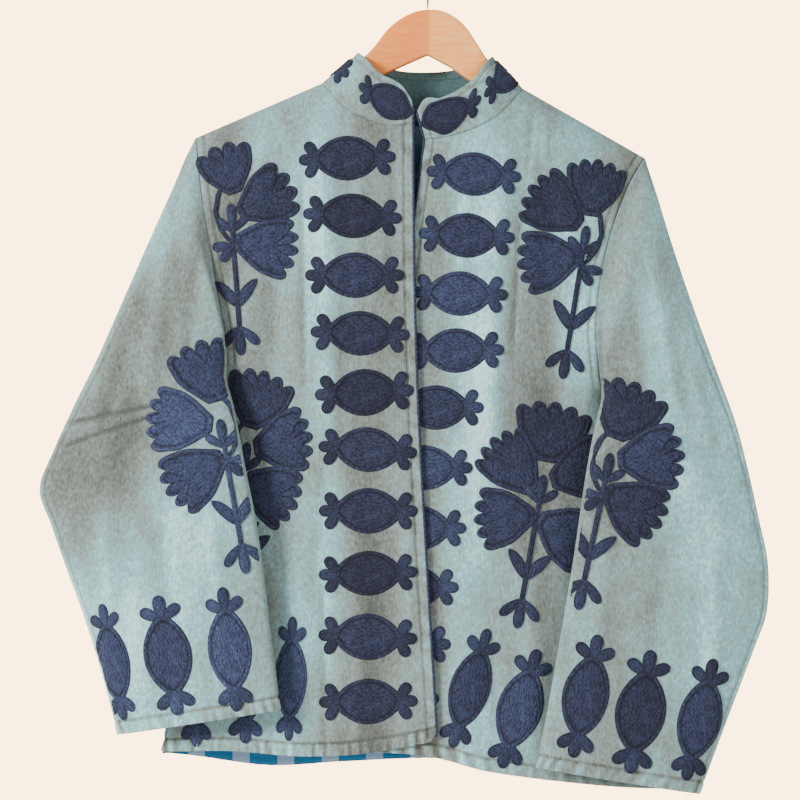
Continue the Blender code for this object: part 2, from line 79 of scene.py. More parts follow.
# Armholes from the tip to the underarm: share, x, z
RIGHT_ARMHOLE = ((0.0, -217, -181), (0.23, -212, -233), (0.46, -204, -283),
                 (0.69, -196, -334), (0.87, -189, -374), (1.0, -188, -404))
LEFT_ARMHOLE = ((0.0, 203, -200), (0.1, 190, -221), (0.2, 180, -244), (0.38, 167, -285),
                (0.58, 159, -330), (0.73, 157, -364), (0.88, 160, -396), (1.0, 163, -422))
RIGHT_BACK_ARMHOLE = ((0.0, -217, -181), (0.23, -213, -233), (0.46, -206, -283),
                      (0.69, -199, -334), (0.87, -191, -374), (1.0, -188, -404))
LEFT_BACK_ARMHOLE = ((0.0, 203, -200), (0.23, 193, -250), (0.46, 183, -302),
                     (0.69, 174, -352), (0.87, 167, -394), (1.0, 163, -422))
# Where the flattened body would close beside an armhole: height over the underarm, x
RIGHT_CLOSE = ((0, -188), (8, -199), (34, -212), (84, -222), (154, -236), (223, -243), (320, -246))
LEFT_CLOSE = ((0, 163), (8, 173), (30, 182), (61, 184), (95, 185), (140, 193), (185, 207),
              (225, 229), (330, 236))
# Front edges from the neck to the hem: share, x, z
RIGHT_EDGE = ((0.0, -14.5, -169), (0.2, -13.9, -284), (0.45, -10.2, -427),
              (0.69, -2.8, -565), (1.0, 8, -743))
LEFT_EDGE = ((0.0, -2.5, -184), (0.09, -9.3, -236), (0.245, -21, -327), (0.34, -27, -380),
             (0.43, -43, -433), (0.53, -54, -489), (0.72, -66, -600), (1.0, -89, -752))
# Hems: share, x, z
RIGHT_HEM = ((0.0, 8, -743), (0.28, -63, -755), (0.46, -110, -757.5),
             (0.77, -190, -753), (1.0, -249, -755))
LEFT_HEM = ((0.0, -89, -752), (0.31, 12, -760), (0.44, 53, -771), (0.59, 100, -778),
            (0.8, 169, -786), (1.0, 230, -790))
BACK_HEM = ((0.0, -249, -757), (0.07, -220, -761), (0.2, -153, -771), (0.35, -80, -768),
            (0.55, 14, -765), (0.72, 100, -772), (0.86, 170, -781), (1.0, 230, -790))
# Half depth of the flattened body: z, front, back
DEPTH = ((-800, 22, 26), (-600, 22, 25), (-420, 21, 23), (-250, 22, 23), (-100, 24, 25))
# Large folds of the source: top x, top z, bottom x, bottom z, half width, height
FRONT_FOLDS = ((-96, -150, -92, -430, 13, 3.2), (-125, -160, -150, -420, 14, -2.4),
               (-58, -420, -40, -740, 17, -2.2), (75, -165, 60, -450, 14, 3.0),
               (112, -170, 122, -520, 15, -2.6), (20, -430, 40, -760, 16, 2.4),
               (90, -560, 105, -775, 14, 3.0), (-120, -560, -125, -750, 15, 2.6))
BACK_FOLDS = ((-80, -190, -90, -600, 18, 3.0), (70, -200, 85, -640, 18, 3.2),
              (-10, -400, -5, -740, 20, -2.6), (140, -420, 150, -760, 16, 2.6),
              (-150, -430, -160, -740, 16, -2.4))
# Small creases of the cloth, in the same columns
FRONT_CREASES = ((-62, -172, -66, -330, 6, 1.1), (-146, -170, -178, -300, 7, 1.3),
                 (-30, -190, -34, -330, 6, -0.8), (-160, -200, -190, -330, 5, -1.0),
                 (-75, -330, -80, -470, 6, -0.9), (-150, -470, -172, -690, 9, 1.5),
                 (-95, -450, -104, -600, 7, -1.0), (-20, -480, -16, -650, 6, 0.8),
                 (-60, -600, -66, -752, 6, 1.0), (40, -190, 30, -330, 6, 1.0),
                 (95, -175, 100, -300, 6, 1.3), (140, -190, 150, -300, 7, -1.2),
                 (60, -420, 78, -560, 8, 1.2), (115, -430, 128, -600, 7, 1.2),
                 (60, -640, 66, -770, 6, -1.1), (10, -560, 18, -700, 6, -0.9),
                 (-97, -575, -95, -740, 4, -1.3), (-117, -190, -114, -400, 4, -1.3),
                 (88, -240, 80, -375, 3.6, -1.2), (99, -150, 94, -208, 3.4, -1.0),
                 (110, -156, 108, -204, 3.4, 0.9), (186, -226, 178, -300, 5, -1.2))
BACK_CREASES = ((-40, -190, -48, -360, 8, 1.1), (30, -195, 40, -380, 8, 1.0),
                (-120, -260, -135, -430, 9, -1.2), (110, -280, 120, -450, 9, -1.2),
                (-60, -520, -66, -740, 8, 1.2), (50, -540, 58, -750, 8, 1.1),
                (-110, -600, -112, -755, 7, -1.0), (105, -610, 110, -765, 7, -1.0))
RIGHT_SLEEVE_CREASES = ((-345, -450, -254, -432, 2.2, -1.8), (-343, -471, -250, -440, 2.2, -1.9),
                        (-340, -461, -256, -437, 5, 1.0), (-236, -240, -262, -420, 10, 1.6),
                        (-208, -250, -224, -400, 8, -1.2), (-300, -500, -292, -690, 9, 1.3),
                        (-250, -520, -236, -690, 9, -1.4), (-200, -520, -186, -690, 8, 1.2),
                        (-275, -360, -300, -450, 7, -1.1))
LEFT_SLEEVE_CREASES = ((300, -480, 238, -470, 7, -1.6), (304, -505, 232, -500, 7, 1.3),
                       (205, -260, 232, -440, 9, 1.5), (190, -300, 205, -440, 8, -1.2),
                       (270, -540, 262, -720, 9, 1.4), (220, -540, 205, -730, 9, -1.3),
                       (168, -520, 150, -730, 8, 1.1), (240, -380, 262, -470, 7, 1.0))
# Pools of painted light and shade on the fronts and sleeves, soft lighter and darker patches on the back:
# x, z, half width, half height, change of brightness
RIGHT_FRONT_PAINTED_POOLS = ((-188, -240, 22, 80, -0.34), (-46, -470, 28, 400, -0.24), (-95, -290, 17, 190, 0.24),
                   (-93, -590, 22, 110, 0.22), (-178, -425, 28, 80, -0.16), (-141, -745, 50, 50, 0.2),
                   (-145, -200, 34, 50, 0.14), (-60, -745, 45, 26, -0.2), (-45, -640, 42, 70, -0.15))
LEFT_FRONT_PAINTED_POOLS = ((43, -350, 20, 200, 0.36), (45, -560, 19, 170, 0.2), (92, -480, 22, 150, -0.2),
                  (145, -350, 28, 90, 0.32), (136, -560, 45, 130, -0.14), (2, -620, 18, 240, -0.24),
                  (120, -185, 80, 50, 0.1), (60, -740, 40, 50, 0.2), (186, -245, 11, 42, -0.4))
RIGHT_SLEEVE_PAINTED_POOLS = ((-284, -415, 44, 110, -0.36), (-312, -510, 45, 60, -0.3),
                    (-285, -245, 40, 60, 0.14), (-295, -665, 75, 130, 0.44),
                    (-215, -540, 44, 70, 0.28), (-240, -300, 24, 100, -0.02),
                    (-345, -480, 26, 70, -0.12))
LEFT_SLEEVE_PAINTED_POOLS = ((172, -460, 26, 110, -0.3), (262, -540, 60, 210, 0.28), (175, -640, 34, 140, -0.06),
                   (235, -755, 60, 40, -0.1), (222, -300, 40, 120, 0.08))
BACK_NAP = ((-80, -420, 40, 160, 0.2), (90, -350, 40, 140, -0.08), (0, -640, 60, 90, 0.16),
            (-180, -560, 40, 120, -0.06), (170, -650, 40, 110, 0.16), (0, -300, 220, 140, 0.08))
# Painted light and shade for a ridge, a slope and a stitched groove, each for a millimetre
FOLD_PAINTED_LIGHT = 0.035
SLOPE_PAINTED_LIGHT = 0.5
GROOVE_PAINTED_SHADE = 0.33
# Top edge of the collar from the right front end round the back: share, x, y, z
COLLAR_TOP = ((0.0, -14.6, -22.5, -149), (0.03, -21, -22, -137.5), (0.12, -44.4, -19.5, -122),
              (0.22, -58, -13.5, -107), (0.3, -64.5, 0, -100.7), (0.37, -57, 12, -105),
              (0.43, -33, 19, -114), (0.5, -2, 22, -116.5), (0.57, 29, 19, -114),
              (0.63, 53, 12, -109), (0.7, 60, 0, -104.4), (0.78, 54, -13.5, -111),
              (0.86, 39.8, -18.5, -129.4), (0.94, 12, -22.5, -145),
              (0.985, -5.2, -23.5, -148.5), (1.0, -10, -23.5, -157))
COLLAR_TURNS = (0.3, 0.7)
# Sleeve rings: share, outer x, y, z, inner x, y, z, hold of the armhole's shape, front bow,
# front depth, back depth
RIGHT_SLEEVE = (
    (0.00, -217, 0, -181, -188, 0, -404, 1.0, 0, 0, 0),
    (0.04, -226, -1, -199, -192, -2.5, -402, 1.0, 4, 4, 1.5),
    (0.09, -236, -2, -223, -194.5, -5.5, -403.5, 0.9, 11, 8, 3),
    (0.14, -246, -4, -246, -195.5, -8, -405, 0.7, 14, 9, 4),
    (0.20, -258, -6, -273, -195, -10.5, -406.5, 0.45, 14, 10, 4),
    (0.27, -271, -8, -303, -193.5, -13, -409, 0.22, 14, 11, 5),
    (0.34, -288, -10, -342, -191, -16, -413, 0.08, 12, 11, 6),
    (0.42, -309, -12, -390, -186, -20.5, -421, 0.0, 8, 11, 7),
    (0.50, -332, -13, -437, -180.5, -26, -436, 0.0, 3, 11, 8),
    (0.56, -349, -14, -475, -176, -31, -456, 0.0, 0, 11, 8),
    (0.61, -361, -14, -506, -170, -35, -487, 0.0, 0, 11, 8),
    (0.68, -350, -15, -543, -161, -36, -531, 0.0, 0, 11, 8),
    (0.76, -334, -16, -588, -153, -36, -583, 0.0, 0, 11, 8),
    (0.84, -318, -17, -632, -147.5, -36, -632, 0.0, 0, 11, 8),
    (0.92, -302, -18, -683, -142, -37, -673, 0.0, 0, 11, 8),
    (1.00, -288, -19, -737, -137, -38, -712, 0.0, 0, 11, 8))
LEFT_SLEEVE = (
    (0.00, 203, 0, -200, 163, 0, -422, 1.0, 0, 0, 0),
    (0.04, 206.5, -1, -211, 167, -2.5, -420, 0.8, 0, 1, 1.5),
    (0.08, 210, -2, -222, 169, -5, -421, 0.6, 1, 7, 3),
    (0.14, 216, -4, -241, 170, -8, -423, 0.5, 6, 10, 4),
    (0.20, 222, -6, -262, 169.5, -10.5, -424.5, 0.38, 10, 11, 4),
    (0.27, 234, -8, -300, 168, -13, -427, 0.2, 13, 11, 5),
    (0.34, 250, -10, -347, 165, -16, -431, 0.08, 11, 11, 6),
    (0.42, 269, -12, -399, 160, -20.5, -439.5, 0.0, 7, 11, 7),
    (0.50, 287, -13, -449, 155, -26, -455, 0.0, 3, 11, 8),
    (0.57, 298, -14, -492, 150, -31.5, -477, 0.0, 0, 11, 8),
    (0.64, 308, -15, -538, 143.5, -35.5, -515, 0.0, 0, 11, 8),
    (0.71, 316, -16, -578, 137, -36.5, -560, 0.0, 0, 11, 8),
    (0.78, 315, -17, -622, 130, -36.5, -604, 0.0, 0, 11, 8),
    (0.85, 303, -18, -657, 122.5, -37, -648, 0.0, 0, 11, 8),
    (0.92, 279, -19, -720, 111, -38, -712, 0.0, 0, 11, 8),
    (1.00, 252, -20, -792, 100, -39, -765, 0.0, 0, 11, 8))
# Hanger sections: x, top z, bottom z, half thickness, centre y, squareness
HANGER = ((-194, -175.6, -189, 3.2, 0, 2.1), (-150, -156, -177, 4.2, 0, 2.2),
          (-110, -139.5, -162, 4.5, 0, 2.3), (-85, -128.5, -151, 4.5, 0, 2.6),
          (-70, -115, -140, 4.8, -0.5, 3), (-59, -104, -131, 5.5, -0.6, 5),
          (-51, -96, -126.5, 6, -0.3, 8), (-38, -79.4, -120, 6, 0.6, 8),
          (-21, -66.2, -112, 6, 2, 8), (0, -60, -102.5, 6, 4, 8), (21, -64.5, -114, 6, 2, 8),
          (36.5, -77.7, -125.5, 6, 0.6, 8), (46.5, -92.6, -132, 6, -0.3, 8),
          (55, -105.8, -137, 5.5, -0.6, 5), (66, -118, -143, 4.8, -0.5, 3),
          (80, -133, -156, 4.5, 0, 2.6), (103, -148, -170, 4.5, 0, 2.3),
          (140, -168.3, -190, 4.2, 0, 2.2), (181, -191.5, -205, 3.2, 0, 2.1))
SHOULDER_ROLL = 70.0  # drop over which the body rounds at the shoulders
SIDE_POWER = 2.6      # how squarely the body closes at its sides
UNDERARM = 0.41       # share down a panel's side at which the armhole ends
NECK_SHARE = 0.42     # share across a front's top at which the neck ends
BACK_TURNS = (0.27, 0.73)  # shares across the back's top at which the neck starts and ends
LAP_STEP = 2.3        # depth that each front gives where they lap
LAP_TOP = (-150, 60)  # height at which the step starts, and its run downwards
RIGHT_LAP = (-130, 70)  # x at which the right front's step starts, and its run across
LEFT_LAP = (70, 80)   # the same for the left front, running the other way
CORNER = 10.0         # radius of the lower front corners
COLLAR_GAP = 0.3      # space between the neck seam and the collar
COLLAR_BOW = 1.5      # how far the collar swells outwards at half its height
HOOK_INSIDE = 20.0    # inside radius of the hook's bend
WIRE = 1.8            # radius of the hook's wire
HOOK_START = -60.0    # first and last angle of the bend, in degrees from +X
HOOK_END = 205.0
SEAM = 0.1            # clear space between front and back, and under the hook's foot
ROLL_RADIUS = 1.1     # edge strip
ROLL_OUT = 0.9        # middle of the strip past the edge that it covers
GROOVE = 1.4          # half width of the groove that a hem's stitching draws in
BODY_HEM = (0.8, 1.1)  # height of a hem's puckers, and depth of its groove
CUFF_HEM = (0.7, 1.0)
STITCH_DEPTH = 0.9    # how far topstitching draws the velvet in
LINING_GAP = 0.4      # space between the back and its lining
HANGER_SIDES = 56     # points round the hanger
HOOK_KNEE = 8.0       # drop from the start of the bend to the straight stem
HOOK_LEAN = (7, 0, 4)  # how far the stem's curve is drawn aside below the bend
# creases narrower than the next width get painted shade along them on the sleeves
PAINTED_SHADE_WIDTH = 3.0           # creases narrower than this are pressed in and show dark

# Embroidered shapes of one motif: kind, base x, base z, angle, length, width, bend or scallops.
# Kinds: 0 rounded lobe, 1 pod body, 2 stem, 3 leaf, 4 fan with a scalloped rim
POD = ((1, -33, 0, 0, 66, 41.5, 0),
       (0, 27, 0, 0, 19, 12.5, 0), (0, 27, 1, 52, 19, 12.5, 0), (0, 27, -1, -52, 19, 12.5, 0),
       (0, -27, 0, 180, 19, 12.5, 0), (0, -27, 1, 128, 19, 12.5, 0), (0, -27, -1, -128, 19, 12.5, 0))
TALL_POD = ((1, -40, 0, 0, 80, 44, 0),
            (0, 34, 0, 0, 24, 14, 0), (0, 34, 1, 54, 21, 13, 0), (0, 34, -1, -54, 21, 13, 0),
            (0, -34, 0, 180, 24, 14, 0), (0, -34, 1, 136, 22, 13, 0), (0, -34, -1, -136, 22, 13, 0))
STEM = ((2, 0, 2, 270, 86, 5, 0), (3, 0, -60, 52, 33, 11, 0.04), (3, 0, -60, 128, 33, 11, -0.04),
        (0, 0, -78, 270, 28, 12, 0), (0, 1, -78, 313, 25, 11, 0), (0, -1, -78, 227, 25, 11, 0),
        (2, 0, 0, 90, 16, 4.5, 0), (0, 0, 12, 90, 27, 11, 0), (0, 0, 12, 42, 21, 9.5, 0),
        (0, 0, 12, 138, 21, 9.5, 0))
RIGHT_PETALS = ((4, 1, 52, 80, 56, 72, 5), (4, 7, 34, 16, 62, 62, 5), (4, 2, 6, -22, 61, 61, 5))
LEFT_PETALS = ((4, 0, 55, 96, 60, 72, 5), (4, -7, 35, 164, 63, 62, 5), (4, -2, 5, 204, 64, 61, 5))
RIGHT_CHEST_PETALS = ((4, 5, 48, 104, 50, 58, 4), (4, 7, 28, 26, 62, 58, 4), (4, 1, 3, -13, 63, 60, 5))
LEFT_CHEST_PETALS = ((4, 2, 48, 91, 54, 59, 5), (4, -6, 38, 153, 62, 61, 5), (4, -2, 10, 197, 61, 61, 5))
ALL_PETALS = ((4, 0, 51, 90, 57, 73, 5), (4, -7, 22, 138, 64, 58, 5), (4, -2, 1, 195, 57, 60, 5),
              (4, 7, 34, 28, 61, 62, 5), (4, 2, -1, -21, 61, 62, 5))
# Open side of a half flower: a curved stem and two small lobes
OPEN_LEFT = ((2, 0, 0, 90, 64, 5, 0.24), (0, -2, 0, 185, 19, 11, 0), (0, -1, -2, 228, 18, 11, 0))
OPEN_RIGHT = ((2, 0, 0, 90, 64, 5, -0.24), (0, 2, 0, -5, 19, 11, 0), (0, 1, -2, -48, 18, 11, 0))
RIGHT_FLOWER = STEM + RIGHT_PETALS + OPEN_LEFT
LEFT_FLOWER = STEM + LEFT_PETALS + OPEN_RIGHT
RIGHT_WAIST_FLOWER = RIGHT_FLOWER + ((3, 6, -72, 44, 38, 13, 0.04),)
RIGHT_CHEST_FLOWER = STEM + RIGHT_CHEST_PETALS + OPEN_LEFT
LEFT_CHEST_FLOWER = STEM + LEFT_CHEST_PETALS + OPEN_RIGHT
WHOLE_FLOWER = STEM + ALL_PETALS
# Places of motifs: x, z, turn in degrees, scale along x, scale along z
RIGHT_FRONT_PODS = ((-75, -201.5, 2, 0.98, 1.0), (-70, -255, -3, 1.0, 1.0), (-68, -310, 0, 1.0, 1.02),
                    (-63, -364, -2, 1.0, 1.0), (-59, -419, 3, 1.0, 1.05), (-56, -472, -4, 1.0, 1.0),
                    (-55.5, -529, 0, 1.0, 1.02), (-55.5, -587, 2, 1.0, 1.0),
                    (-56, -646, -2, 1.0, 1.04), (-55.5, -706, 1, 1.0, 1.02))
LEFT_FRONT_PODS = ((42.5, -216, -4, 0.96, 0.98), (36, -273, -3, 0.97, 1.0), (29.6, -327, -2, 0.97, 1.0),
                   (26, -380, 1, 0.97, 1.0), (7.5, -433, 0, 0.97, 1.0), (-3, -489, 0, 0.97, 1.0),
                   (-9, -545, 0, 0.97, 1.0), (-16, -600, 0, 0.97, 1.0), (-23, -653, 0, 0.97, 1.0),
                   (-34, -704, 0, 0.97, 1.0))
RIGHT_CHEST = ((-181, -281, 4, 0.96, 0.98),)
RIGHT_WAIST = ((-172, -504, -6, 0.9, 1.0),)
LEFT_CHEST = ((142, -302, -9, 0.98, 1.0),)
LEFT_WAIST = ((101, -534, -10, 1.0, 1.0),)
RIGHT_SLEEVE_FLOWERS = ((-186, -482, 10, 1.0, 1.0),)
LEFT_SLEEVE_FLOWERS = ((160.5, -514, -12, 1.02, 1.02),)
RIGHT_HEM_PODS = ((-127.5, -685, 88, 1.0, 0.68), (-169, -688, 89, 1.0, 0.9), (-216, -692, 90, 1.0, 0.8))
LEFT_HEM_PODS = ((39, -694, 73, 1.0, 0.85), (85, -713, 73, 1.0, 0.95))
RIGHT_CUFF_PODS = ((-292, -669, 101, 0.95, 0.72), (-240.5, -662, 100, 0.97, 1.03),
                   (-183, -656, 97, 1.0, 0.92))
LEFT_CUFF_PODS = ((145, -699, 78, 1.0, 0.98), (196, -714, 80, 1.0, 1.08), (251.5, -722, 77, 1.0, 0.95))
# Collar pods: length along the collar from its right front end, height over its middle, turn, scales
COLLAR_PODS = ((105, 0, 0, 0.74, 0.8), (197, 0, 0, 0.74, 0.76), (281, 0, 0, 0.72, 0.76))
RIGHT_COLLAR_POD = ((23.5, 0, 0, 0.72, 0.8),)
LEFT_COLLAR_POD = ((354.5, 0, 0, 0.8, 0.8),)


# Colour and surface arithmetic

def linear(code):
    """sRGB hex to linear RGBA."""
    c = np.array([int(code[i:i + 2], 16) for i in (1, 3, 5)]) / 255
    c = np.where(c <= 0.04045, c / 12.92, ((c + 0.055) / 1.055) ** 2.4)
    return (*(float(v) for v in c), 1.0)


def smooth(rows, at):
    """Cubic curve through the rows; the first column is the share along it."""
    table = np.asarray(rows, float)
    key, val = table[:, 0], table[:, 1:]
    slope = np.gradient(val, key, axis=0)
    at = np.clip(np.asarray(at, float), key[0], key[-1])
    i = np.clip(np.searchsorted(key, at, side="right") - 1, 0, len(key) - 2)
    span = (key[i + 1] - key[i])[..., None]
    t = (at - key[i])[..., None] / span
    rise = val[i + 1] - val[i]
    bend = (slope[i] * (1 - t) - slope[i + 1] * t) * span - rise * (1 - 2 * t)
    return val[i] + rise * t + t * (1 - t) * bend


def bell(dist, width):
    """Bell of height one over a distance, as exp(-x squared)."""
    return np.exp(-(dist / width) ** 2)


def ease(t):
    """Smooth step from 0 to 1."""
    t = np.clip(t, 0, 1)
    return t * t * (3 - 2 * t)


def unit(a):
    """Vectors of length one."""
    return a / np.maximum(np.linalg.norm(a, axis=-1, keepdims=True), 1e-9)


def shares(*runs):
    """Stations from runs of (start, stop, steps), each stop shared with the next start."""
    out = [np.linspace(a, b, n, endpoint=False) for a, b, n in runs]
    return np.append(np.concatenate(out), runs[-1][1])


def ripple(a, b, seed):
    """Uneven value between -1 and 1: a sum of five sines of unlike pitch along a and b."""
    k = np.arange(1, 6)
    w = np.sin(k * 12.9898 + seed * 78.233) * 43758.5453
    w = w - np.floor(w)
    turn = np.multiply.outer(a, 0.7 + w) + np.multiply.outer(b, 1.3 - w) + w * 6.283
    return np.sin(turn).sum(-1) / 3.0


def folds(rows, x, z):
    """Sum of soft ridges and troughs: a bell across each line, fading out at both ends."""
    out = np.zeros(np.broadcast(x, z).shape)
    for x0, z0, x1, z1, width, height in rows:
        dx, dz = x1 - x0, z1 - z0
        reach = np.hypot(dx, dz)
        t = ((x - x0) * dx + (z - z0) * dz) / reach ** 2
        across = ((x - x0) * dz - (z - z0) * dx) / reach / width
        along = ease(t * 4) * ease((1.15 - t) * 4)
        out = out + height * np.exp(-across ** 2) * along
    return out


def shoulder_z(x):
    """Height of the shoulder seam at x, carried on over the neck."""
    r_slope = (RIGHT_TIP[1] - RIGHT_NECK[-1][2]) / (RIGHT_TIP[0] - RIGHT_NECK[-1][1])
    l_slope = (LEFT_TIP[1] - LEFT_NECK[-1][2]) / (LEFT_TIP[0] - LEFT_NECK[-1][1])
    right = RIGHT_TIP[1] + (x - RIGHT_TIP[0]) * r_slope
    left = LEFT_TIP[1] + (x - LEFT_TIP[0]) * l_slope
    return np.minimum(right, left)


def side_x(z, hem, close):
    """X at which the flattened body closes: the side seam, or beside the armhole above it."""
    low = np.array(hem, float)
    top = np.array(close[0][1], float)
    under = RIGHT_ARMHOLE[-1][2] if top < 0 else LEFT_ARMHOLE[-1][2]
    seam = top + (low[0] - top) * (z - under) / (low[1] - under)
    return np.where(z < under, seam, smooth(close, z - under)[..., 0])


def body_y(x, z, back=False):
    """Depth of the flattened body: full in the middle, closing at sides and shoulders, with folds."""
    right = side_x(z, RIGHT_HEM[-1][1:], RIGHT_CLOSE)
    left = side_x(z, LEFT_HEM[-1][1:], LEFT_CLOSE)
    share = np.clip(np.where(x < 0, x / right, x / left), 0, 1)
    depth = smooth(DEPTH, z)[..., 1 if back else 0]
    drop = np.clip((shoulder_z(x) - z) / SHOULDER_ROLL, 0, 1)
    close = np.sqrt(1 - share ** SIDE_POWER) * np.sqrt(1 - (1 - drop) ** 2)
    rows = BACK_FOLDS + BACK_CREASES if back else FRONT_FOLDS + FRONT_CREASES
    y = (depth + folds(rows, x, z)) * close + SEAM / 2
    return y if back else -y


def lap(x, z, right):
    """Depth step that parts the two fronts where the right one lies over the left."""
    drop = ease((LAP_TOP[0] - z) / LAP_TOP[1])
    if right:
        return -LAP_STEP * ease((x - RIGHT_LAP[0]) / RIGHT_LAP[1]) * drop
    return LAP_STEP * ease((LEFT_LAP[0] - x) / LEFT_LAP[1]) * drop


def front_y(x, z, right):
    """Depth of a front, with its step at the lap."""
    return body_y(x, z) + lap(x, z, right)


def patch(low, high, top, hem, u, v):
    """Flat panel filled between its four edges; low and high run down, top and hem across."""
    uu = u[None, :, None]
    vv = v[:, None, None]
    a, b = low(v)[:, None, :], high(v)[:, None, :]
    c, d = top(u)[None, :, :], hem(u)[None, :, :]
    ends = np.array([0.0, 1.0])
    (p00, p10), (p01, p11) = top(ends), hem(ends)
    corner = (p00 * (1 - uu) + p10 * uu) * (1 - vv) + (p01 * (1 - uu) + p11 * uu) * vv
    return a * (1 - uu) + b * uu + c * (1 - vv) + d * vv - corner


def side_edge(armhole, hem_point):
    """Armhole from the tip to the underarm, then the straight side seam."""
    def edge(v):
        arm = smooth(armhole, v / UNDERARM)
        under = np.array(armhole[-1][1:], float)
        share = np.clip((v - UNDERARM) / (1 - UNDERARM), 0, 1)[:, None]
        seam = under + (np.array(hem_point, float) - under) * share
        return np.where((v < UNDERARM)[:, None], arm, seam)
    return edge


def front_top(neck, tip):
    """Neck seam from the front edge, then the straight shoulder seam."""
    def edge(u):
        curve = smooth(neck, u / NECK_SHARE)
        start = np.array(neck[-1][1:], float)
        share = np.clip((u - NECK_SHARE) / (1 - NECK_SHARE), 0, 1)[:, None]
        seam = start + (np.array(tip, float) - start) * share
        return np.where((u < NECK_SHARE)[:, None], curve, seam)
    return edge


def back_top(u):
    """Right shoulder, back neck, left shoulder."""
    lo, hi = BACK_TURNS
    neck = smooth(BACK_NECK, (u - lo) / (hi - lo))
    right = np.array(RIGHT_TIP, float)
    left = np.array(LEFT_TIP, float)
    start = np.array(BACK_NECK[0][1:], float)
    stop = np.array(BACK_NECK[-1][1:], float)
    r_share = np.clip(u / lo, 0, 1)[:, None]
    l_share = np.clip((u - hi) / (1 - hi), 0, 1)[:, None]
    out = np.where((u < lo)[:, None], right + (start - right) * r_share, neck)
    return np.where((u > hi)[:, None], stop + (left - stop) * l_share, out)


def table_edge(rows):
    """Edge of a panel as a curve through a table's points."""
    return lambda t: smooth(rows, t)


def front_panel(right, u, v):
    """Middle surface of a front: rows down, columns from the front edge to the side. A square at the
    lower front corner is drawn in to a quarter of a disc."""
    edge, hem, armhole, neck, tip = (
        (RIGHT_EDGE, RIGHT_HEM, RIGHT_ARMHOLE, RIGHT_NECK, RIGHT_TIP) if right else
        (LEFT_EDGE, LEFT_HEM, LEFT_ARMHOLE, LEFT_NECK, LEFT_TIP))
    flat = patch(table_edge(edge), side_edge(armhole, hem[-1][1:]), front_top(neck, tip),
                 table_edge(hem), u, v)
    point, inward, upward = (np.array(row[1:], float) for row in (hem[0], hem[1], edge[-2]))
    wide, tall = abs(hem[-1][1] - hem[0][1]), abs(edge[-1][2] - edge[0][2])
    p = np.clip(1 - u * wide / CORNER, 0, 1)[None, :, None]
    q = np.clip(1 - (1 - v) * tall / CORNER, 0, 1)[:, None, None]
    flat = flat + CORNER * (p * (1 - np.sqrt(1 - q * q / 2)) * unit(inward - point)
                            + q * (1 - np.sqrt(1 - p * p / 2)) * unit(upward - point))
    x, z = flat[..., 0], flat[..., 1]
    return np.stack((x, front_y(x, z, right), z), -1)


def back_panel(u, v):
    """Middle surface of the back: rows down, columns from the right side to the left."""
    flat = patch(side_edge(RIGHT_BACK_ARMHOLE, BACK_HEM[0][1:]),
                 side_edge(LEFT_BACK_ARMHOLE, BACK_HEM[-1][1:]),
                 back_top, table_edge(BACK_HEM), u, v)
    x, z = flat[..., 0], flat[..., 1]
    return np.stack((x, body_y(x, z, True), z), -1)


def armhole_loop(front, back, theta):
    """Armhole seam by angle: 0 at the shoulder tip, pi at the underarm, front first."""
    share = np.where(theta <= np.pi, theta, 2 * np.pi - theta) / np.pi
    ahead = (theta <= np.pi)[..., None]
    flat = np.where(ahead, smooth(front, share), smooth(back, share))
    x, z = flat[..., 0], flat[..., 1]
    y = np.where(ahead[..., 0], body_y(x, z), body_y(x, z, True))
    tip = np.sin(np.clip(share, 0, 1) * np.pi) < 1e-6
    return np.stack((x, np.where(tip, 0, y), z), -1)


RIGHT_ARM = (RIGHT_SLEEVE, RIGHT_ARMHOLE, RIGHT_BACK_ARMHOLE, RIGHT_SLEEVE_CREASES)
LEFT_ARM = (LEFT_SLEEVE, LEFT_ARMHOLE, LEFT_BACK_ARMHOLE, LEFT_SLEEVE_CREASES)


def sleeve_point(arm, theta, t):
    """Middle surface of a sleeve at angles theta and shares t: a line from the outer to the inner
    edge, bowed and swollen front and back, with the armhole's own shape held near the shoulder."""
    rows, front, back, creases = arm
    ring = smooth(rows, t)
    outer, inner = ring[..., 0:3], ring[..., 3:6]
    hold, bow = ring[..., 6:7], ring[..., 7]
    ahead, behind = ring[..., 8], ring[..., 9]
    along = ((1 - np.cos(theta)) / 2)[..., None]
    first = np.asarray(rows[0], float)
    start = first[1:4] + (first[4:7] - first[1:4]) * along
    shape = armhole_loop(front, back, theta) - start
    point = outer + (inner - outer) * along + hold * shape
    turn = np.abs(np.sin(theta))
    is_front = theta <= np.pi
    inward = -np.sign(first[1])
    point[..., 0] += np.where(is_front, inward * bow * turn ** 0.6, 0)
    crease = folds(creases, point[..., 0], point[..., 2]) * ease(t * 8)
    point[..., 1] += np.where(is_front, -ahead - crease, behind + 0.8 * crease) * turn ** 0.7
    return point


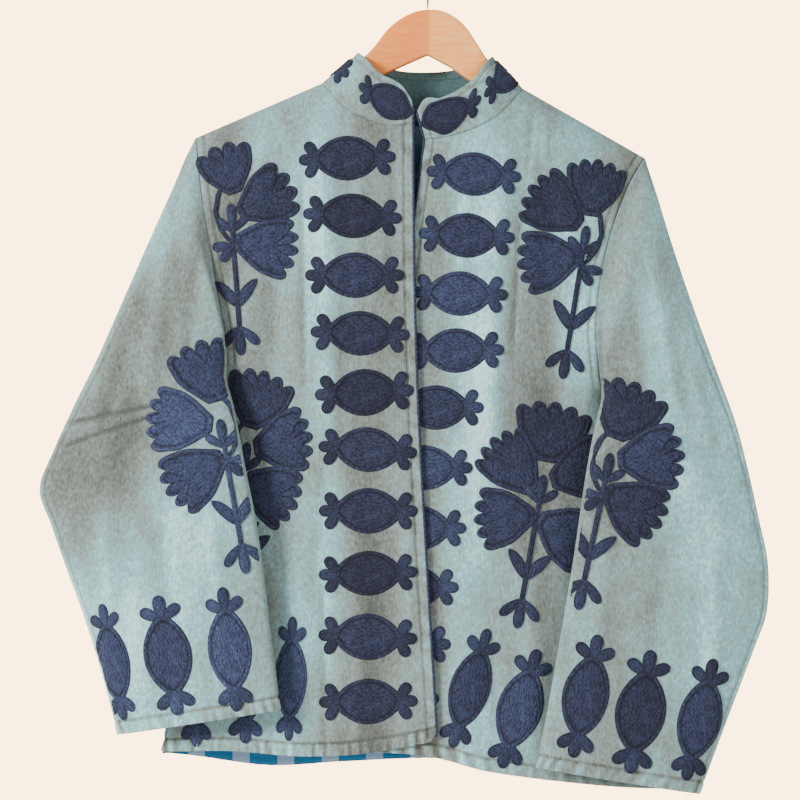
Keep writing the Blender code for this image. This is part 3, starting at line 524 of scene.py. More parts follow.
def sleeve_field(arm, cell=1.0):
    """Depth of a sleeve's front over a square net of x and z: the foremost of many points of the
    sleeve in each cell, gaps filled along the rows, then smoothed. Gives the net's corner, depths
    and the first and last x of each row."""
    th, tt = np.meshgrid(np.linspace(0, np.pi, 460), np.linspace(0.0, 1, 900))
    p = sleeve_point(arm, th, tt).reshape(-1, 3)
    corner = p[:, [0, 2]].min(0) - 3 * cell
    col, row = np.rint((p[:, [0, 2]] - corner) / cell).astype(int).T
    net = np.full((row.max() + 4, col.max() + 4), np.inf)
    np.minimum.at(net, (row, col), p[:, 1])
    at = np.arange(net.shape[1])
    filled = np.isfinite(net)
    first, last = filled.argmax(1), net.shape[1] - 1 - filled[:, ::-1].argmax(1)
    rows = np.flatnonzero(filled.any(1))
    for r in rows:
        net[r] = np.interp(at, at[filled[r]], net[r, filled[r]])
    net[:rows[0]], net[rows[-1] + 1:] = net[rows[0]], net[rows[-1]]
    first[:rows[0]], first[rows[-1] + 1:] = first[rows[0]], first[rows[-1]]
    last[:rows[0]], last[rows[-1] + 1:] = last[rows[0]], last[rows[-1]]
    for axis in (0, 1):
        wide = np.pad(net, [(2, 2) if k == axis else (0, 0) for k in (0, 1)], "edge")
        n = net.shape[axis]
        net = sum(w * np.take(wide, np.arange(k, k + n), axis) for k, w in enumerate((1, 2, 3, 2, 1))) / 9
    return corner, net, corner[0] + (first + 0.5) * cell, corner[0] + (last - 0.5) * cell


def collar_seam(share):
    """Neck seam by share of the collar, from the right front end round the back."""
    lo, hi = COLLAR_TURNS
    right = smooth(RIGHT_NECK, share / lo)
    rear = smooth(BACK_NECK, (share - lo) / (hi - lo))
    left = smooth(LEFT_NECK, (1 - share) / (1 - hi))
    on_right = (share < lo)[..., None]
    on_left = (share > hi)[..., None]
    flat = np.where(on_right, right, np.where(on_left, left, rear))
    x, z = flat[..., 0], flat[..., 1]
    ahead = body_y(x, z) + np.where(share < lo, lap(x, z, True), lap(x, z, False))
    y = np.where((share < lo) | (share > hi), ahead, body_y(x, z, True))
    turn = np.minimum(np.abs(share - lo), np.abs(share - hi)) < 1e-6
    return np.stack((x, np.where(turn, 0, y), z), -1)


def collar_surface(share, rise):
    """Middle surface of the collar: straight from the neck seam to the top edge, slightly bowed."""
    low = collar_seam(share)
    high = smooth(COLLAR_TOP, share)
    low = low + unit(high - low) * COLLAR_GAP
    out = low + (high - low) * rise[..., None]
    out[..., 1] += COLLAR_BOW * np.sign(low[..., 1]) * np.sin(np.pi * rise)
    return out


def normals(points, around=False):
    """Unit normals of a grid of points; around joins its last column to its first."""
    if around:
        wide = np.concatenate((points[:, -1:], points, points[:, :1]), 1)
        across = wide[:, 2:] - wide[:, :-2]
    else:
        across = np.gradient(points, axis=1)
    down = np.gradient(points, axis=0)
    return unit(np.cross(across, down))


def turned(nrm, at, way):
    """Normals turned so that the one at a row and column points along way, 1 or -1, of Y."""
    return nrm * np.sign(way * nrm[at][1])


def run(points, axis):
    """Length walked along one axis of a grid of points, from its start."""
    step = np.linalg.norm(np.diff(points, axis=axis), axis=-1)
    first = np.zeros_like(np.take(step, [0], axis))
    return np.concatenate((first, np.cumsum(step, axis)), axis)


# Meshes

def quads(rows, cols, around=False):
    """Corner numbers of a grid's faces, row by row."""
    i = np.arange(rows - 1)[:, None]
    j = np.arange(cols if around else cols - 1)[None, :]
    k = (j + 1) % cols
    return np.stack((i * cols + j, i * cols + k, (i + 1) * cols + k, (i + 1) * cols + j),
                    -1).reshape(-1, 4)


def add_piece(name, verts, faces, mats, face_mat=None, corner_uv=None, fields=None):
    """New mesh piece in place, riding on the one body; verts in mm, UV in metres for each corner."""
    mesh = bpy.data.meshes.new(name)
    mesh.from_pydata((np.asarray(verts) * MM).tolist(), [], faces)
    for mat in mats:
        mesh.materials.append(mat)
    mesh.polygons.foreach_set("use_smooth", np.ones(len(mesh.polygons), bool))
    if face_mat is not None:
        mesh.polygons.foreach_set("material_index", np.asarray(face_mat, np.int32))
    if corner_uv is not None:
        layer = mesh.uv_layers.new(name="cloth")
        layer.data.foreach_set("uv", np.asarray(corner_uv, np.float32).ravel())
    for key, value in (fields or {}).items():
        field = mesh.attributes.new(key, "FLOAT", "POINT")
        field.data.foreach_set("value", np.asarray(value, np.float32).ravel())
    mesh.update()
    piece = bpy.data.objects.new(name, mesh)
    bpy.context.scene.collection.objects.link(piece)
    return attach(piece, "root")


def add_cloth(name, mid, nrm, half, mats, uv, around=False, fields=None):
    """Closed thin cloth: the middle surface moved out and in along its normals by half, joined by
    a rim. The outer face and the rim have the first material, the inner face the second."""
    rows, cols = mid.shape[:2]
    count = rows * cols
    verts = np.concatenate(((mid + nrm * half).reshape(-1, 3), (mid - nrm * half).reshape(-1, 3)))
    outer = quads(rows, cols, around)
    corners = quads(rows, uv.shape[1])
    top = np.arange(cols)
    low = (rows - 1) * cols + top[::-1]
    if around:
        ends = [np.append(top, 0), np.append(low, low[0])]
    else:
        side = np.arange(rows) * cols
        ends = [np.concatenate((top, side[1:] + cols - 1, low[1:], side[::-1][1:]))]
    rim = np.concatenate([np.stack((e[1:], e[:-1], e[:-1] + count, e[1:] + count), -1) for e in ends])
    faces = np.concatenate((outer, outer[:, ::-1] + count, rim))
    a, b, c = verts[outer[len(outer) // 2, :3]]
    if np.dot(np.cross(b - a, c - b), nrm.reshape(-1, 3)[outer[len(outer) // 2, 0]]) < 0:
        faces = faces[:, ::-1]
        order = slice(None, None, -1)
    else:
        order = slice(None)
    flat = uv.reshape(-1, 2)
    plain = uv[:, :cols].reshape(-1, 2)
    corner_uv = np.concatenate((flat[corners], flat[corners[:, ::-1]],
                                plain[np.stack((rim[:, 0], rim[:, 1], rim[:, 1], rim[:, 0]), -1) % count]))
    corner_uv = corner_uv[:, order]
    face_mat = np.concatenate((np.zeros(len(outer)), np.ones(len(outer)), np.zeros(len(rim))))
    both = {k: np.concatenate((np.ravel(v), np.ravel(v))) for k, v in (fields or {}).items()}
    return add_piece(name, verts, faces.tolist(), mats, face_mat, corner_uv, both)


def rounded(dist, reach=0.9, least=0.3):
    """Share of the wall left at a distance from a folded edge, as a quarter circle."""
    t = np.clip(dist / reach, 0, 1)
    return least + (1 - least) * np.sqrt(1 - (1 - t) ** 2)


def add_loft(name, rings, ends, mats, uv=None):
    """Closed tube through rings of points, drawn to a point at both ends, with its faces turned
    outwards. uv has a value for each point of a ring and one more that closes it."""
    rows, sides = rings.shape[:2]
    count = rows * sides
    j = np.arange(sides)
    k = (j + 1) % sides
    body, corners = quads(rows, sides, True), quads(rows, sides + 1)
    first = np.stack((k, j, np.full(sides, count)), -1)
    last = np.stack((j + count - sides, k + count - sides, np.full(sides, count + 1)), -1)
    points = np.concatenate((rings.reshape(-1, 3), ends))
    middle = len(body) // 2
    a, b, c = points[body[middle, :3]]
    if np.dot(np.cross(b - a, c - b), a - rings[middle // sides].mean(0)) < 0:
        body, first, last, corners = (part[:, ::-1] for part in (body, first, last, corners))
    corner_uv = None
    if uv is not None:
        caps = np.zeros((len(first) * 6, 2))
        corner_uv = np.concatenate((uv.reshape(-1, 2)[corners].reshape(-1, 2), caps))
    return add_piece(name, points, body.tolist() + first.tolist() + last.tolist(), mats,
                     corner_uv=corner_uv)


def add_tube(name, path, radius, mats, sides=12):
    """Round tube along a path with rounded closed ends; UV runs along and round in metres."""
    way = unit(np.gradient(path, axis=0))
    one = unit(np.cross(way, (0.0, 1.0, 0.0)))
    two = np.cross(one, way)
    angle = np.linspace(0, 2 * np.pi, sides + 1)
    cos, sin = np.cos(angle[:-1])[None, :, None], np.sin(angle[:-1])[None, :, None]
    walked = run(path[:, None], 0)[:, 0]
    left = np.minimum(walked, walked[-1] - walked)
    thick = radius * np.sqrt(1 - (1 - np.clip(left / radius, 0, 1)) ** 2)
    thick = np.maximum(thick, radius * 0.15)
    rings = path[:, None] + (one[:, None] * cos + two[:, None] * sin) * thick[:, None, None]
    uv = np.stack(np.broadcast_arrays(walked[:, None], angle[None] * radius), -1) * MM
    return add_loft(name, rings, path[[0, -1]], mats, uv)


# Embroidery

# Rings of a stitched shape: share of the outline, share of the stitching's height, change of
# brightness, which is painted shade on the sunk rim and in the groove and painted light on the
# raised rows. The last two are its centres, above and below
BLOB_RINGS = ((1.0, -0.5, -0.5), (1.0, 0.35, -0.3), (0.955, 0.85, 0.1), (0.9, 1.0, 0.15),
              (0.83, 0.6, -0.45), (0.75, 0.9, 0.1), (0.4, 1.1, 0.1), (0.0, 1.15, 0.1), (0.0, -0.5, 0.0))
BLOB_SIDES = 84  # points round a stitched shape
# Kinds of stitched shape; 3 is a leaf
LOBE, POD_BODY, STALK, FAN = 0, 1, 2, 4
# A fan's half angle, and as shares of its length, how far behind it its rays meet and how far it
# reaches at the notches
FAN_HALF = np.radians(34)
FAN_BACK = 0.22
FAN_NOTCH = 0.86
# Inner end, side and rim of half a fan: start and length as shares of the way round
FAN_RUNS = ((0, 0.04), (0.04, 0.1), (0.14, 0.36))


def blob_outline(kind, s, count):
    """Outline of a stitched shape at angles s: share along it, share across it, and its notches.
    A lobe widens to a round end, a pod body narrows at both ends, a stem is even, a leaf pointed,
    and a fan opens from a narrow inner end, on rays from a point behind it, to a round rim of
    scallops, each half a sine."""
    c, w = np.cos(s), np.sin(s)
    even = (1 - c) / 2
    square = 0.5 - 0.5 * np.sign(c) * np.abs(c) ** 0.25
    lobe = 0.5 * w * (0.5 + 0.62 * even ** 0.9)
    pod = 0.5 * w * np.abs(w) ** 0.5
    stem = 0.5 * np.sign(w) * np.abs(w) ** 0.25
    leaf = 0.5 * w * np.abs(w) ** 0.3
    turn = s / (2 * np.pi)
    half = np.minimum(turn, 1 - turn)
    base, side, rim = (np.clip((half - start) / length, 0, 1) for start, length in FAN_RUNS)
    beat = np.pi * count * (1 - rim) / 2
    scallop = np.abs(np.where(np.mod(count, 2) == 1, np.cos(beat), np.sin(beat))) ** 0.5
    angle = FAN_HALF * (1 - rim)
    reach = (1 + FAN_BACK) * (FAN_NOTCH + (1 - FAN_NOTCH) * np.where(rim > 0, scallop, 0))
    start = FAN_BACK / np.cos(FAN_HALF)
    radius = np.where(rim > 0, reach, start + (FAN_NOTCH * (1 + FAN_BACK) - start) * side)
    fan_along = np.where(base < 1, 0.0, radius * np.cos(angle) - FAN_BACK)
    fan_across = np.where(base < 1, base * FAN_BACK * np.tan(FAN_HALF), radius * np.sin(angle))
    fan_across = fan_across * (1 + 0.22 * np.sin(np.pi * side)) * np.sign(0.5 - turn) * 0.8
    notch = np.where(kind == FAN, (1 - scallop) ** 2 * ease(rim * count), 0)
    along = np.select([kind == STALK, kind == FAN], [square, fan_along], even)
    across = np.select([kind == LOBE, kind == POD_BODY, kind == STALK, kind == FAN],
                       [lobe, pod, stem, fan_across], leaf)
    return along, across, notch


def blobs(motif, places, tone, height):
    """Points of every shape of a motif at every place: rings from the sunk rim over a raised
    outline row and a groove to the domed middle, then the two centres. Ribs run in from a fan's
    notches. tone is the motif's painted light, from 0 to 1; the rings and ribs add
    painted shade and light. Gives x, z, height, painted light and shade, UV."""
    rows = np.asarray(motif, float)
    spots = np.asarray(places, float)
    s = np.linspace(0, 2 * np.pi, BLOB_SIDES + 1)
    kind = rows[:, 0][:, None]
    length, width, bend = rows[:, 4:5], rows[:, 5:6], rows[:, 6:7]
    along, across, notch = blob_outline(kind, s[None, :], bend)
    bend = np.where(kind == FAN, 0, bend)
    share, rise, ring_painted_light = np.asarray(BLOB_RINGS).T[:, None, :, None]
    middle = np.where((kind == LOBE) | (kind == FAN), 0.58, 0.5)[:, None]
    a = middle + (along[:, None, :] - middle) * share
    b = across[:, None, :] * share
    px = a * length[:, None]
    pz = b * width[:, None] + (bend * length)[:, None] * 4 * a * (1 - a)
    base_x, base_z, angle = rows.T[1:4, :, None, None]
    turn = np.radians(angle)
    lx = base_x + px * np.cos(turn) - pz * np.sin(turn)
    lz = base_z + px * np.sin(turn) + pz * np.cos(turn)
    at_x, at_z, angle, sx, sz = spots.T[:, :, None, None, None]
    spin = np.radians(angle)
    x = at_x + lx * sx * np.cos(spin) - lz * sz * np.sin(spin)
    z = at_z + lx * sx * np.sin(spin) + lz * sz * np.cos(spin)
    rib = notch[:, None, :] * np.sin(np.pi * share ** 1.2)
    h = rise * height * (1 - 0.6 * rib)
    # painted shade on the sunk rim, in the groove and along the ribs
    shade = tone + ring_painted_light - 0.9 * rib
    grid = np.arange(len(rows))[:, None, None] * 61.7
    many = (len(spots),) + a.shape
    flat = (len(spots) * len(rows),) + a.shape[1:]
    uv = np.stack((px + grid, pz - grid), -1)
    uv = np.broadcast_to(uv[None], many + (2,)).reshape(flat + (2,))
    h, shade = (np.broadcast_to(a[None], many).reshape(flat) for a in (h, shade))
    return x.reshape(flat), z.reshape(flat), h, shade, uv


def add_stitching(name, parts, place, mats):
    """Raised chain-stitched shapes on a surface: each is a closed low dome set along the cloth's
    normal. place turns x, z into points of the cloth's outer face and its normals."""
    x, z, h, shade, uv = (np.concatenate(column) for column in zip(*parts))
    base, nrm = place(x, z)
    points = base + nrm * h[..., None]
    n, rings, wide = x.shape
    sides = wide - 1
    rings -= 2
    each = rings * sides + 2
    body = points[:, :rings, :sides].reshape(n, -1, 3)
    verts = np.concatenate((body, points[:, rings, :1], points[:, rings + 1, :1]), 1)
    grid = quads(rings, sides, True)
    j = np.arange(sides)
    k = (j + 1) % sides
    inner = (rings - 1) * sides
    cap = np.stack((inner + j, inner + k, np.full(sides, each - 2)), -1)
    foot = np.stack((k, j, np.full(sides, each - 1)), -1)
    shift = (np.arange(n) * each)[:, None, None]
    corners = quads(rings, wide)
    flat = uv.reshape(n, -1, 2)
    side_uv = flat[:, corners]
    cap_ids = np.stack((((rings - 1) * wide + j), (rings - 1) * wide + j + 1, rings * wide + j), -1)
    foot_ids = np.stack((j + 1, j, (rings + 1) * wide + j), -1)
    cap_uv, foot_uv = flat[:, cap_ids], flat[:, foot_ids]
    mid = sides // 4
    p = points[0]
    out = np.cross(p[2, mid + 1] - p[2, mid], p[3, mid] - p[2, mid])
    if np.dot(out, nrm[0, 2, mid]) < 0:
        grid, cap, foot = grid[:, ::-1], cap[:, ::-1], foot[:, ::-1]
        side_uv, cap_uv, foot_uv = side_uv[:, :, ::-1], cap_uv[:, :, ::-1], foot_uv[:, :, ::-1]
    faces = (grid[None] + shift).reshape(-1, 4).tolist()
    faces += (cap[None] + shift).reshape(-1, 3).tolist() + (foot[None] + shift).reshape(-1, 3).tolist()
    corner_uv = np.concatenate([c.reshape(-1, 2) for c in (side_uv, cap_uv, foot_uv)]) * MM
    shade = np.concatenate((shade[:, :rings, :sides].reshape(n, -1), shade[:, rings:, 0]), 1)
    # painted light and shade of the rings, ribs and motif, with a random spread for each shape
    tone = shade + 0.15 * np.sin(np.arange(n) * 2.399)[:, None]
    return add_piece(name, verts.reshape(-1, 3), faces, mats, corner_uv=corner_uv, fields={"tone": tone})


def on_front(right, half):
    """Places on a front's outer face: depth from the panel's own formula, normal from its slopes."""
    def place(x, z):
        d = 0.5
        y = front_y(x, z, right)
        sx = (front_y(x + d, z, right) - front_y(x - d, z, right)) / (2 * d)
        sz = (front_y(x, z + d, right) - front_y(x, z - d, right)) / (2 * d)
        nrm = unit(np.stack((sx, -np.ones_like(sx), sz), -1))
        return np.stack((x, y, z), -1) + nrm * half, nrm
    return place


def on_sleeve(arm, half):
    """Places on a sleeve's outer face in front; what lies past its edge is drawn back to the edge at
    its own height."""
    corner, net, low, high = sleeve_field(arm)

    def depth(x, z):
        i = np.clip(z - corner[1], 0, net.shape[0] - 1.001)
        j = np.clip(x - corner[0], 0, net.shape[1] - 1.001)
        r, c = i.astype(int), j.astype(int)
        i, j = i - r, j - c
        return ((net[r, c] * (1 - j) + net[r, c + 1] * j) * (1 - i)
                + (net[r + 1, c] * (1 - j) + net[r + 1, c + 1] * j) * i)

    def place(x, z):
        first, last = (np.interp(z - corner[1], np.arange(len(edge)), edge) for edge in (low, high))
        x = np.clip(x, first + 2, last - 2)
        sx = (depth(x + 1.5, z) - depth(x - 1.5, z)) / 3
        sz = (depth(x, z + 1.5) - depth(x, z - 1.5)) / 3
        nrm = unit(np.stack((sx, -np.ones_like(sx), sz), -1))
        return np.stack((x, depth(x, z), z), -1) + nrm * half, nrm
    return place


def on_collar(half):
    """Places on the collar's outer face: x is the length walked along its middle from the right
    front end, z the height over its middle."""
    stations = np.linspace(0, 1, 400)
    walked = run(collar_surface(stations, np.full(400, 0.5))[:, None], 0)[:, 0]

    def place(x, z):
        share = np.interp(x, walked, stations)
        foot, top = (collar_surface(share, np.full_like(share, end)) for end in (0.0, 1.0))
        tall = np.linalg.norm(top - foot, axis=-1)
        rise = np.clip(0.5 + z / tall, 0.02, 0.98)
        p = collar_surface(share, rise)
        before, after = (collar_surface(np.clip(share + d, 0, 1), rise) for d in (-2e-3, 2e-3))
        a = after - before
        b = collar_surface(share, rise + 0.01) - collar_surface(share, rise - 0.01)
        nrm = unit(np.cross(a, b))
        # turned away from the neck's middle; x counts less, as the neck is wider than deep
        out = 0.35 * p[..., :1] * nrm[..., :1] + p[..., 1:2] * nrm[..., 1:2]
        nrm = nrm * np.where(out < 0, -1, 1)
        return p + nrm * half, nrm
    return place


# Materials

def add_node(tree, kind, inputs=None, **settings):
    """Adds a node; inputs maps a socket's name or number to a value, or to a socket to link."""
    node = tree.nodes.new(kind)
    for key, value in settings.items():
        setattr(node, key, value)
    for key, value in (inputs or {}).items():
        if isinstance(value, bpy.types.NodeSocket):
            tree.links.new(value, node.inputs[key])
        else:
            node.inputs[key].default_value = value
    return node


def new_material(name, values):
    """Named material with its shader's plain values, ready for nodes."""
    mat = bpy.data.materials.new(name)
    mat.use_nodes = True
    bsdf = mat.node_tree.nodes["Principled BSDF"]
    for key, value in values.items():
        bsdf.inputs[key].default_value = value
    return mat, mat.node_tree, bsdf


def set_ramp(node, *stops):
    """Colour stops of a ramp, each a place from 0 to 1 and the colour setting's name."""
    colours = bpy.context.scene.jacket_colours
    ramp = node.color_ramp
    while len(ramp.elements) < len(stops):
        ramp.elements.new(1.0)
    for element, (place, colour) in zip(ramp.elements, stops):
        element.position = place
        element.color = getattr(colours, colour)


def cotton_velvet():
    """Cotton velvet, cut pile pressed by wear: matt, with a pale edge glow. Its colour follows painted
    light and shade from the mesh, aqua where painted lit and grey-beige where painted shaded, with faint
    random patches."""
    mat, tree, bsdf = new_material("cotton_velvet", {
        "Roughness": 0.92, "Specular IOR Level": 0.12, "Sheen Weight": 0.4,
        "Sheen Roughness": 0.45, "Sheen Tint": bpy.context.scene.jacket_colours.velvet_glow})
    where = add_node(tree, "ShaderNodeTexCoord").outputs["Object"]
    # faint patches about 40 mm wide and twice as long
    long_map = add_node(tree, "ShaderNodeMapping", {"Vector": where, "Scale": (1.0, 1.0, 0.5)})
    patches = add_node(tree, "ShaderNodeTexNoise", {"Vector": long_map.outputs[0], "Scale": 25.0,
                                                    "Detail": 3.0, "Roughness": 0.55})
    # painted light and shade from the folds, stitched grooves and pools of the mesh
    nap = add_node(tree, "ShaderNodeAttribute", attribute_name="nap")
    # threads of the ground weave, about 1.8 mm apart, drawn coarser than real so that they show
    thread_map = add_node(tree, "ShaderNodeMapping", {"Vector": where, "Scale": (1.0, 1.0, 0.4)})
    threads = add_node(tree, "ShaderNodeTexNoise", {"Vector": thread_map.outputs[0], "Scale": 560.0,
                                                    "Detail": 3.0, "Roughness": 0.7})
    # rubbed flecks about 4 mm across
    flecks = add_node(tree, "ShaderNodeTexNoise", {"Vector": where, "Scale": 250.0, "Detail": 2.0})
    total = nap.outputs["Fac"]
    for source, weight in ((patches, 0.75), (threads, 0.9), (flecks, 0.42)):
        total = add_node(tree, "ShaderNodeMath", {0: source.outputs["Fac"], 1: weight, 2: total},
                         operation="MULTIPLY_ADD").outputs[0]
    total = add_node(tree, "ShaderNodeMath", {0: total, 1: 1.025}, operation="SUBTRACT")
    ramp = add_node(tree, "ShaderNodeValToRGB", {"Fac": total.outputs[0]})
    # from painted shade in the deepest folds to painted highlight on the ridges
    set_ramp(ramp, (0.0, "velvet_shade"), (0.25, "velvet_grey"), (0.5, "velvet_mid"),
             (0.75, "velvet_aqua"), (1.0, "velvet_painted_highlight"))
    tree.links.new(ramp.outputs["Color"], bsdf.inputs["Base Color"])
    bump = add_node(tree, "ShaderNodeBump", {"Height": threads.outputs["Fac"], "Strength": 0.3,
                                             "Distance": 0.0006})
    tree.links.new(bump.outputs[0], bsdf.inputs["Normal"])
    return mat


def checked_cotton():
    """Yarn-dyed checked cotton lining, plain weave: matt, teal-blue bars with pale blue between."""
    mat, tree, bsdf = new_material("checked_cotton", {"Roughness": 0.85, "Specular IOR Level": 0.2})
    where = add_node(tree, "ShaderNodeUVMap", uv_map="cloth").outputs["UV"]
    parts = add_node(tree, "ShaderNodeSeparateXYZ", {"Vector": where})
    bars = []
    # bars of 26 mm with 16 mm between
    for axis in ("X", "Y"):
        turn = add_node(tree, "ShaderNodeMath", {0: parts.outputs[axis], 1: 1 / 0.042}, operation="MULTIPLY")
        share = add_node(tree, "ShaderNodeMath", {0: turn.outputs[0]}, operation="FRACT")
        bars.append(add_node(tree, "ShaderNodeMath", {0: share.outputs[0], 1: 0.62}, operation="LESS_THAN"))
    both = add_node(tree, "ShaderNodeMath", {0: bars[0].outputs[0], 1: 0.62}, operation="MULTIPLY")
    both = add_node(tree, "ShaderNodeMath", {0: bars[1].outputs[0], 1: 0.38, 2: both.outputs[0]},
                    operation="MULTIPLY_ADD")
    # threads about 1.1 mm apart, drawn coarser than real so that they show
    weave = add_node(tree, "ShaderNodeTexNoise", {"Vector": where, "Scale": 900.0, "Detail": 2.0})
    tint = add_node(tree, "ShaderNodeMath", {0: weave.outputs["Fac"], 1: 0.16, 2: both.outputs[0]},
                    operation="MULTIPLY_ADD")
    ramp = add_node(tree, "ShaderNodeValToRGB", {"Fac": tint.outputs[0]})
    set_ramp(ramp, (0.0, "lining_pale"), (0.35, "lining_light"), (0.68, "lining_blue"),
             (1.0, "lining_teal"))
    tree.links.new(ramp.outputs["Color"], bsdf.inputs["Base Color"])
    bump = add_node(tree, "ShaderNodeBump", {"Height": weave.outputs["Fac"], "Strength": 0.15,
                                             "Distance": 0.0003})
    tree.links.new(bump.outputs[0], bsdf.inputs["Normal"])
    return mat


def teal_facing():
    """Plain dyed cotton facing inside the collar, plain weave: matt dark teal with a thread grain."""
    mat, tree, bsdf = new_material("teal_cotton_facing", {"Roughness": 0.88, "Specular IOR Level": 0.15})
    where = add_node(tree, "ShaderNodeTexCoord").outputs["Object"]
    # threads about 1.4 mm apart, drawn coarser than real so that they show
    weave = add_node(tree, "ShaderNodeTexNoise", {"Vector": where, "Scale": 700.0, "Detail": 2.0})
    ramp = add_node(tree, "ShaderNodeValToRGB", {"Fac": weave.outputs["Fac"]})
    set_ramp(ramp, (0.3, "facing_dark"), (0.7, "facing_light"))
    tree.links.new(ramp.outputs["Color"], bsdf.inputs["Base Color"])
    return mat


def chain_yarn():
    """Two-ply cotton yarn worked in close chain stitch: matt, in rows of loops about 1.6 mm wide
    and 3 mm long that catch light on top, with dark holes between."""
    mat, tree, bsdf = new_material("navy_chain_yarn", {
        "Roughness": 0.85, "Specular IOR Level": 0.2, "Sheen Weight": 0.1})
    where = add_node(tree, "ShaderNodeUVMap", uv_map="cloth").outputs["UV"]
    # rows bent a little, as they are worked by hand
    sway = add_node(tree, "ShaderNodeTexNoise", {"Vector": where, "Scale": 110.0, "Detail": 1.0})
    bent = add_node(tree, "ShaderNodeVectorMath", {0: sway.outputs["Color"], 1: (0.006, 0.006, 0.0),
                                                   2: where}, operation="MULTIPLY_ADD")
    loops_map = add_node(tree, "ShaderNodeMapping", {"Vector": bent.outputs[0], "Scale": (0.5, 1.0, 1.0)})
    loops = add_node(tree, "ShaderNodeTexVoronoi", {"Vector": loops_map.outputs[0], "Scale": 1 / 0.0016},
                     voronoi_dimensions="2D")
    mound = add_node(tree, "ShaderNodeMath", {0: loops.outputs["Distance"], 1: -1.25, 2: 1.0},
                     operation="MULTIPLY_ADD", use_clamp=True)
    single = add_node(tree, "ShaderNodeSeparateColor", {"Color": loops.outputs["Color"]})
    # yarn faded in patches about 11 mm wide
    fuzz = add_node(tree, "ShaderNodeTexNoise", {"Vector": where, "Scale": 90.0, "Detail": 3.0})
    # painted light of each motif and painted shade of its rims, grooves and ribs
    tone = add_node(tree, "ShaderNodeAttribute", attribute_name="tone")
    # painted highlight on the loop tops and painted shade in the holes, with faded patches
    mixed = add_node(tree, "ShaderNodeMath", {0: mound.outputs[0], 1: 0.26}, operation="MULTIPLY")
    for source, weight in ((single.outputs[0], 0.1), (fuzz.outputs["Fac"], 0.24),
                           (tone.outputs["Fac"], 0.34)):
        mixed = add_node(tree, "ShaderNodeMath", {0: source, 1: weight, 2: mixed.outputs[0]},
                         operation="MULTIPLY_ADD")
    ramp = add_node(tree, "ShaderNodeValToRGB", {"Fac": mixed.outputs[0]})
    set_ramp(ramp, (0.12, "yarn_hole"), (0.38, "yarn_body"), (0.6, "yarn_faded_and_lit"), (0.9, "yarn_lit_and_faded"))
    tree.links.new(ramp.outputs["Color"], bsdf.inputs["Base Color"])
    bump = add_node(tree, "ShaderNodeBump", {"Height": mound.outputs[0], "Strength": 0.8, "Distance": 0.0009})
    tree.links.new(bump.outputs[0], bsdf.inputs["Normal"])
    return mat


def rolled_cotton():
    """Bias strip of cotton rolled over the edge and oversewn: matt navy with paler slanting stitches."""
    mat, tree, bsdf = new_material("rolled_cotton_strip", {"Roughness": 0.8})
    where = add_node(tree, "ShaderNodeUVMap", uv_map="cloth").outputs["UV"]
    parts = add_node(tree, "ShaderNodeSeparateXYZ", {"Vector": where})
    slant = add_node(tree, "ShaderNodeMath", {0: parts.outputs["Y"], 1: 0.8, 2: parts.outputs["X"]},
                     operation="MULTIPLY_ADD")
    # stitches 5 mm apart
    turn = add_node(tree, "ShaderNodeMath", {0: slant.outputs[0], 1: 2 * np.pi / 0.005}, operation="MULTIPLY")
    wave = add_node(tree, "ShaderNodeMath", {0: turn.outputs[0]}, operation="SINE")
    ramp = add_node(tree, "ShaderNodeValToRGB", {"Fac": wave.outputs[0]})
    set_ramp(ramp, (0.2, "strip_dark"), (0.7, "strip_body"), (1.0, "strip_light"))
    tree.links.new(ramp.outputs["Color"], bsdf.inputs["Base Color"])
    bump = add_node(tree, "ShaderNodeBump", {"Height": wave.outputs[0], "Strength": 0.4, "Distance": 0.0004})
    tree.links.new(bump.outputs[0], bsdf.inputs["Normal"])
    return mat


def varnished_beech():
    """Steam-bent beech under clear satin varnish: warm, with fine lengthwise grain and short dark
    flecks; of the two mitred halves, the one at +X, turned to the light, is painted paler."""
    mat, tree, bsdf = new_material("varnished_beech", {
        "Roughness": 0.42, "Coat Weight": 0.25, "Coat Roughness": 0.3})
    where = add_node(tree, "ShaderNodeTexCoord").outputs["Object"]
    parts = add_node(tree, "ShaderNodeSeparateXYZ", {"Vector": where})
    # grain about 2.4 mm wide, 17 times as long
    grain_map = add_node(tree, "ShaderNodeMapping", {"Vector": where, "Scale": (0.06, 1.0, 1.0)})
    grain = add_node(tree, "ShaderNodeTexNoise", {"Vector": grain_map.outputs[0], "Scale": 420.0,
                                                  "Detail": 4.0, "Roughness": 0.6})
    # painted light on the half at +X, painted shade on the other
    half = add_node(tree, "ShaderNodeMath", {0: parts.outputs["X"], 1: 0.002}, operation="GREATER_THAN")
    tint = add_node(tree, "ShaderNodeMath", {0: half.outputs[0], 1: 0.3, 2: grain.outputs["Fac"]},
                    operation="MULTIPLY_ADD")
    ramp = add_node(tree, "ShaderNodeValToRGB", {"Fac": tint.outputs[0]})
    set_ramp(ramp, (0.25, "wood_dark"), (0.5, "wood_shaded_half"), (0.8, "wood_lit_half"), (1.0, "wood_light"))
    tree.links.new(ramp.outputs["Color"], bsdf.inputs["Base Color"])
    bump = add_node(tree, "ShaderNodeBump", {"Height": grain.outputs["Fac"], "Strength": 0.12,
                                             "Distance": 0.0003})
    tree.links.new(bump.outputs[0], bsdf.inputs["Normal"])
    return mat


def drawn_wire():
    """Drawn steel wire, zinc plated: bright grey metal, faintly marked."""
    mat, tree, bsdf = new_material("drawn_steel_wire", {"Metallic": 1.0, "Roughness": 0.32})
    where = add_node(tree, "ShaderNodeTexCoord").outputs["Object"]
    # marks about 1.1 mm long
    lines = add_node(tree, "ShaderNodeTexNoise", {"Vector": where, "Scale": 900.0, "Detail": 3.0})
    ramp = add_node(tree, "ShaderNodeValToRGB", {"Fac": lines.outputs["Fac"]})
    set_ramp(ramp, (0.3, "wire_dark"), (0.7, "wire_light"))
    tree.links.new(ramp.outputs["Color"], bsdf.inputs["Base Color"])
    return mat


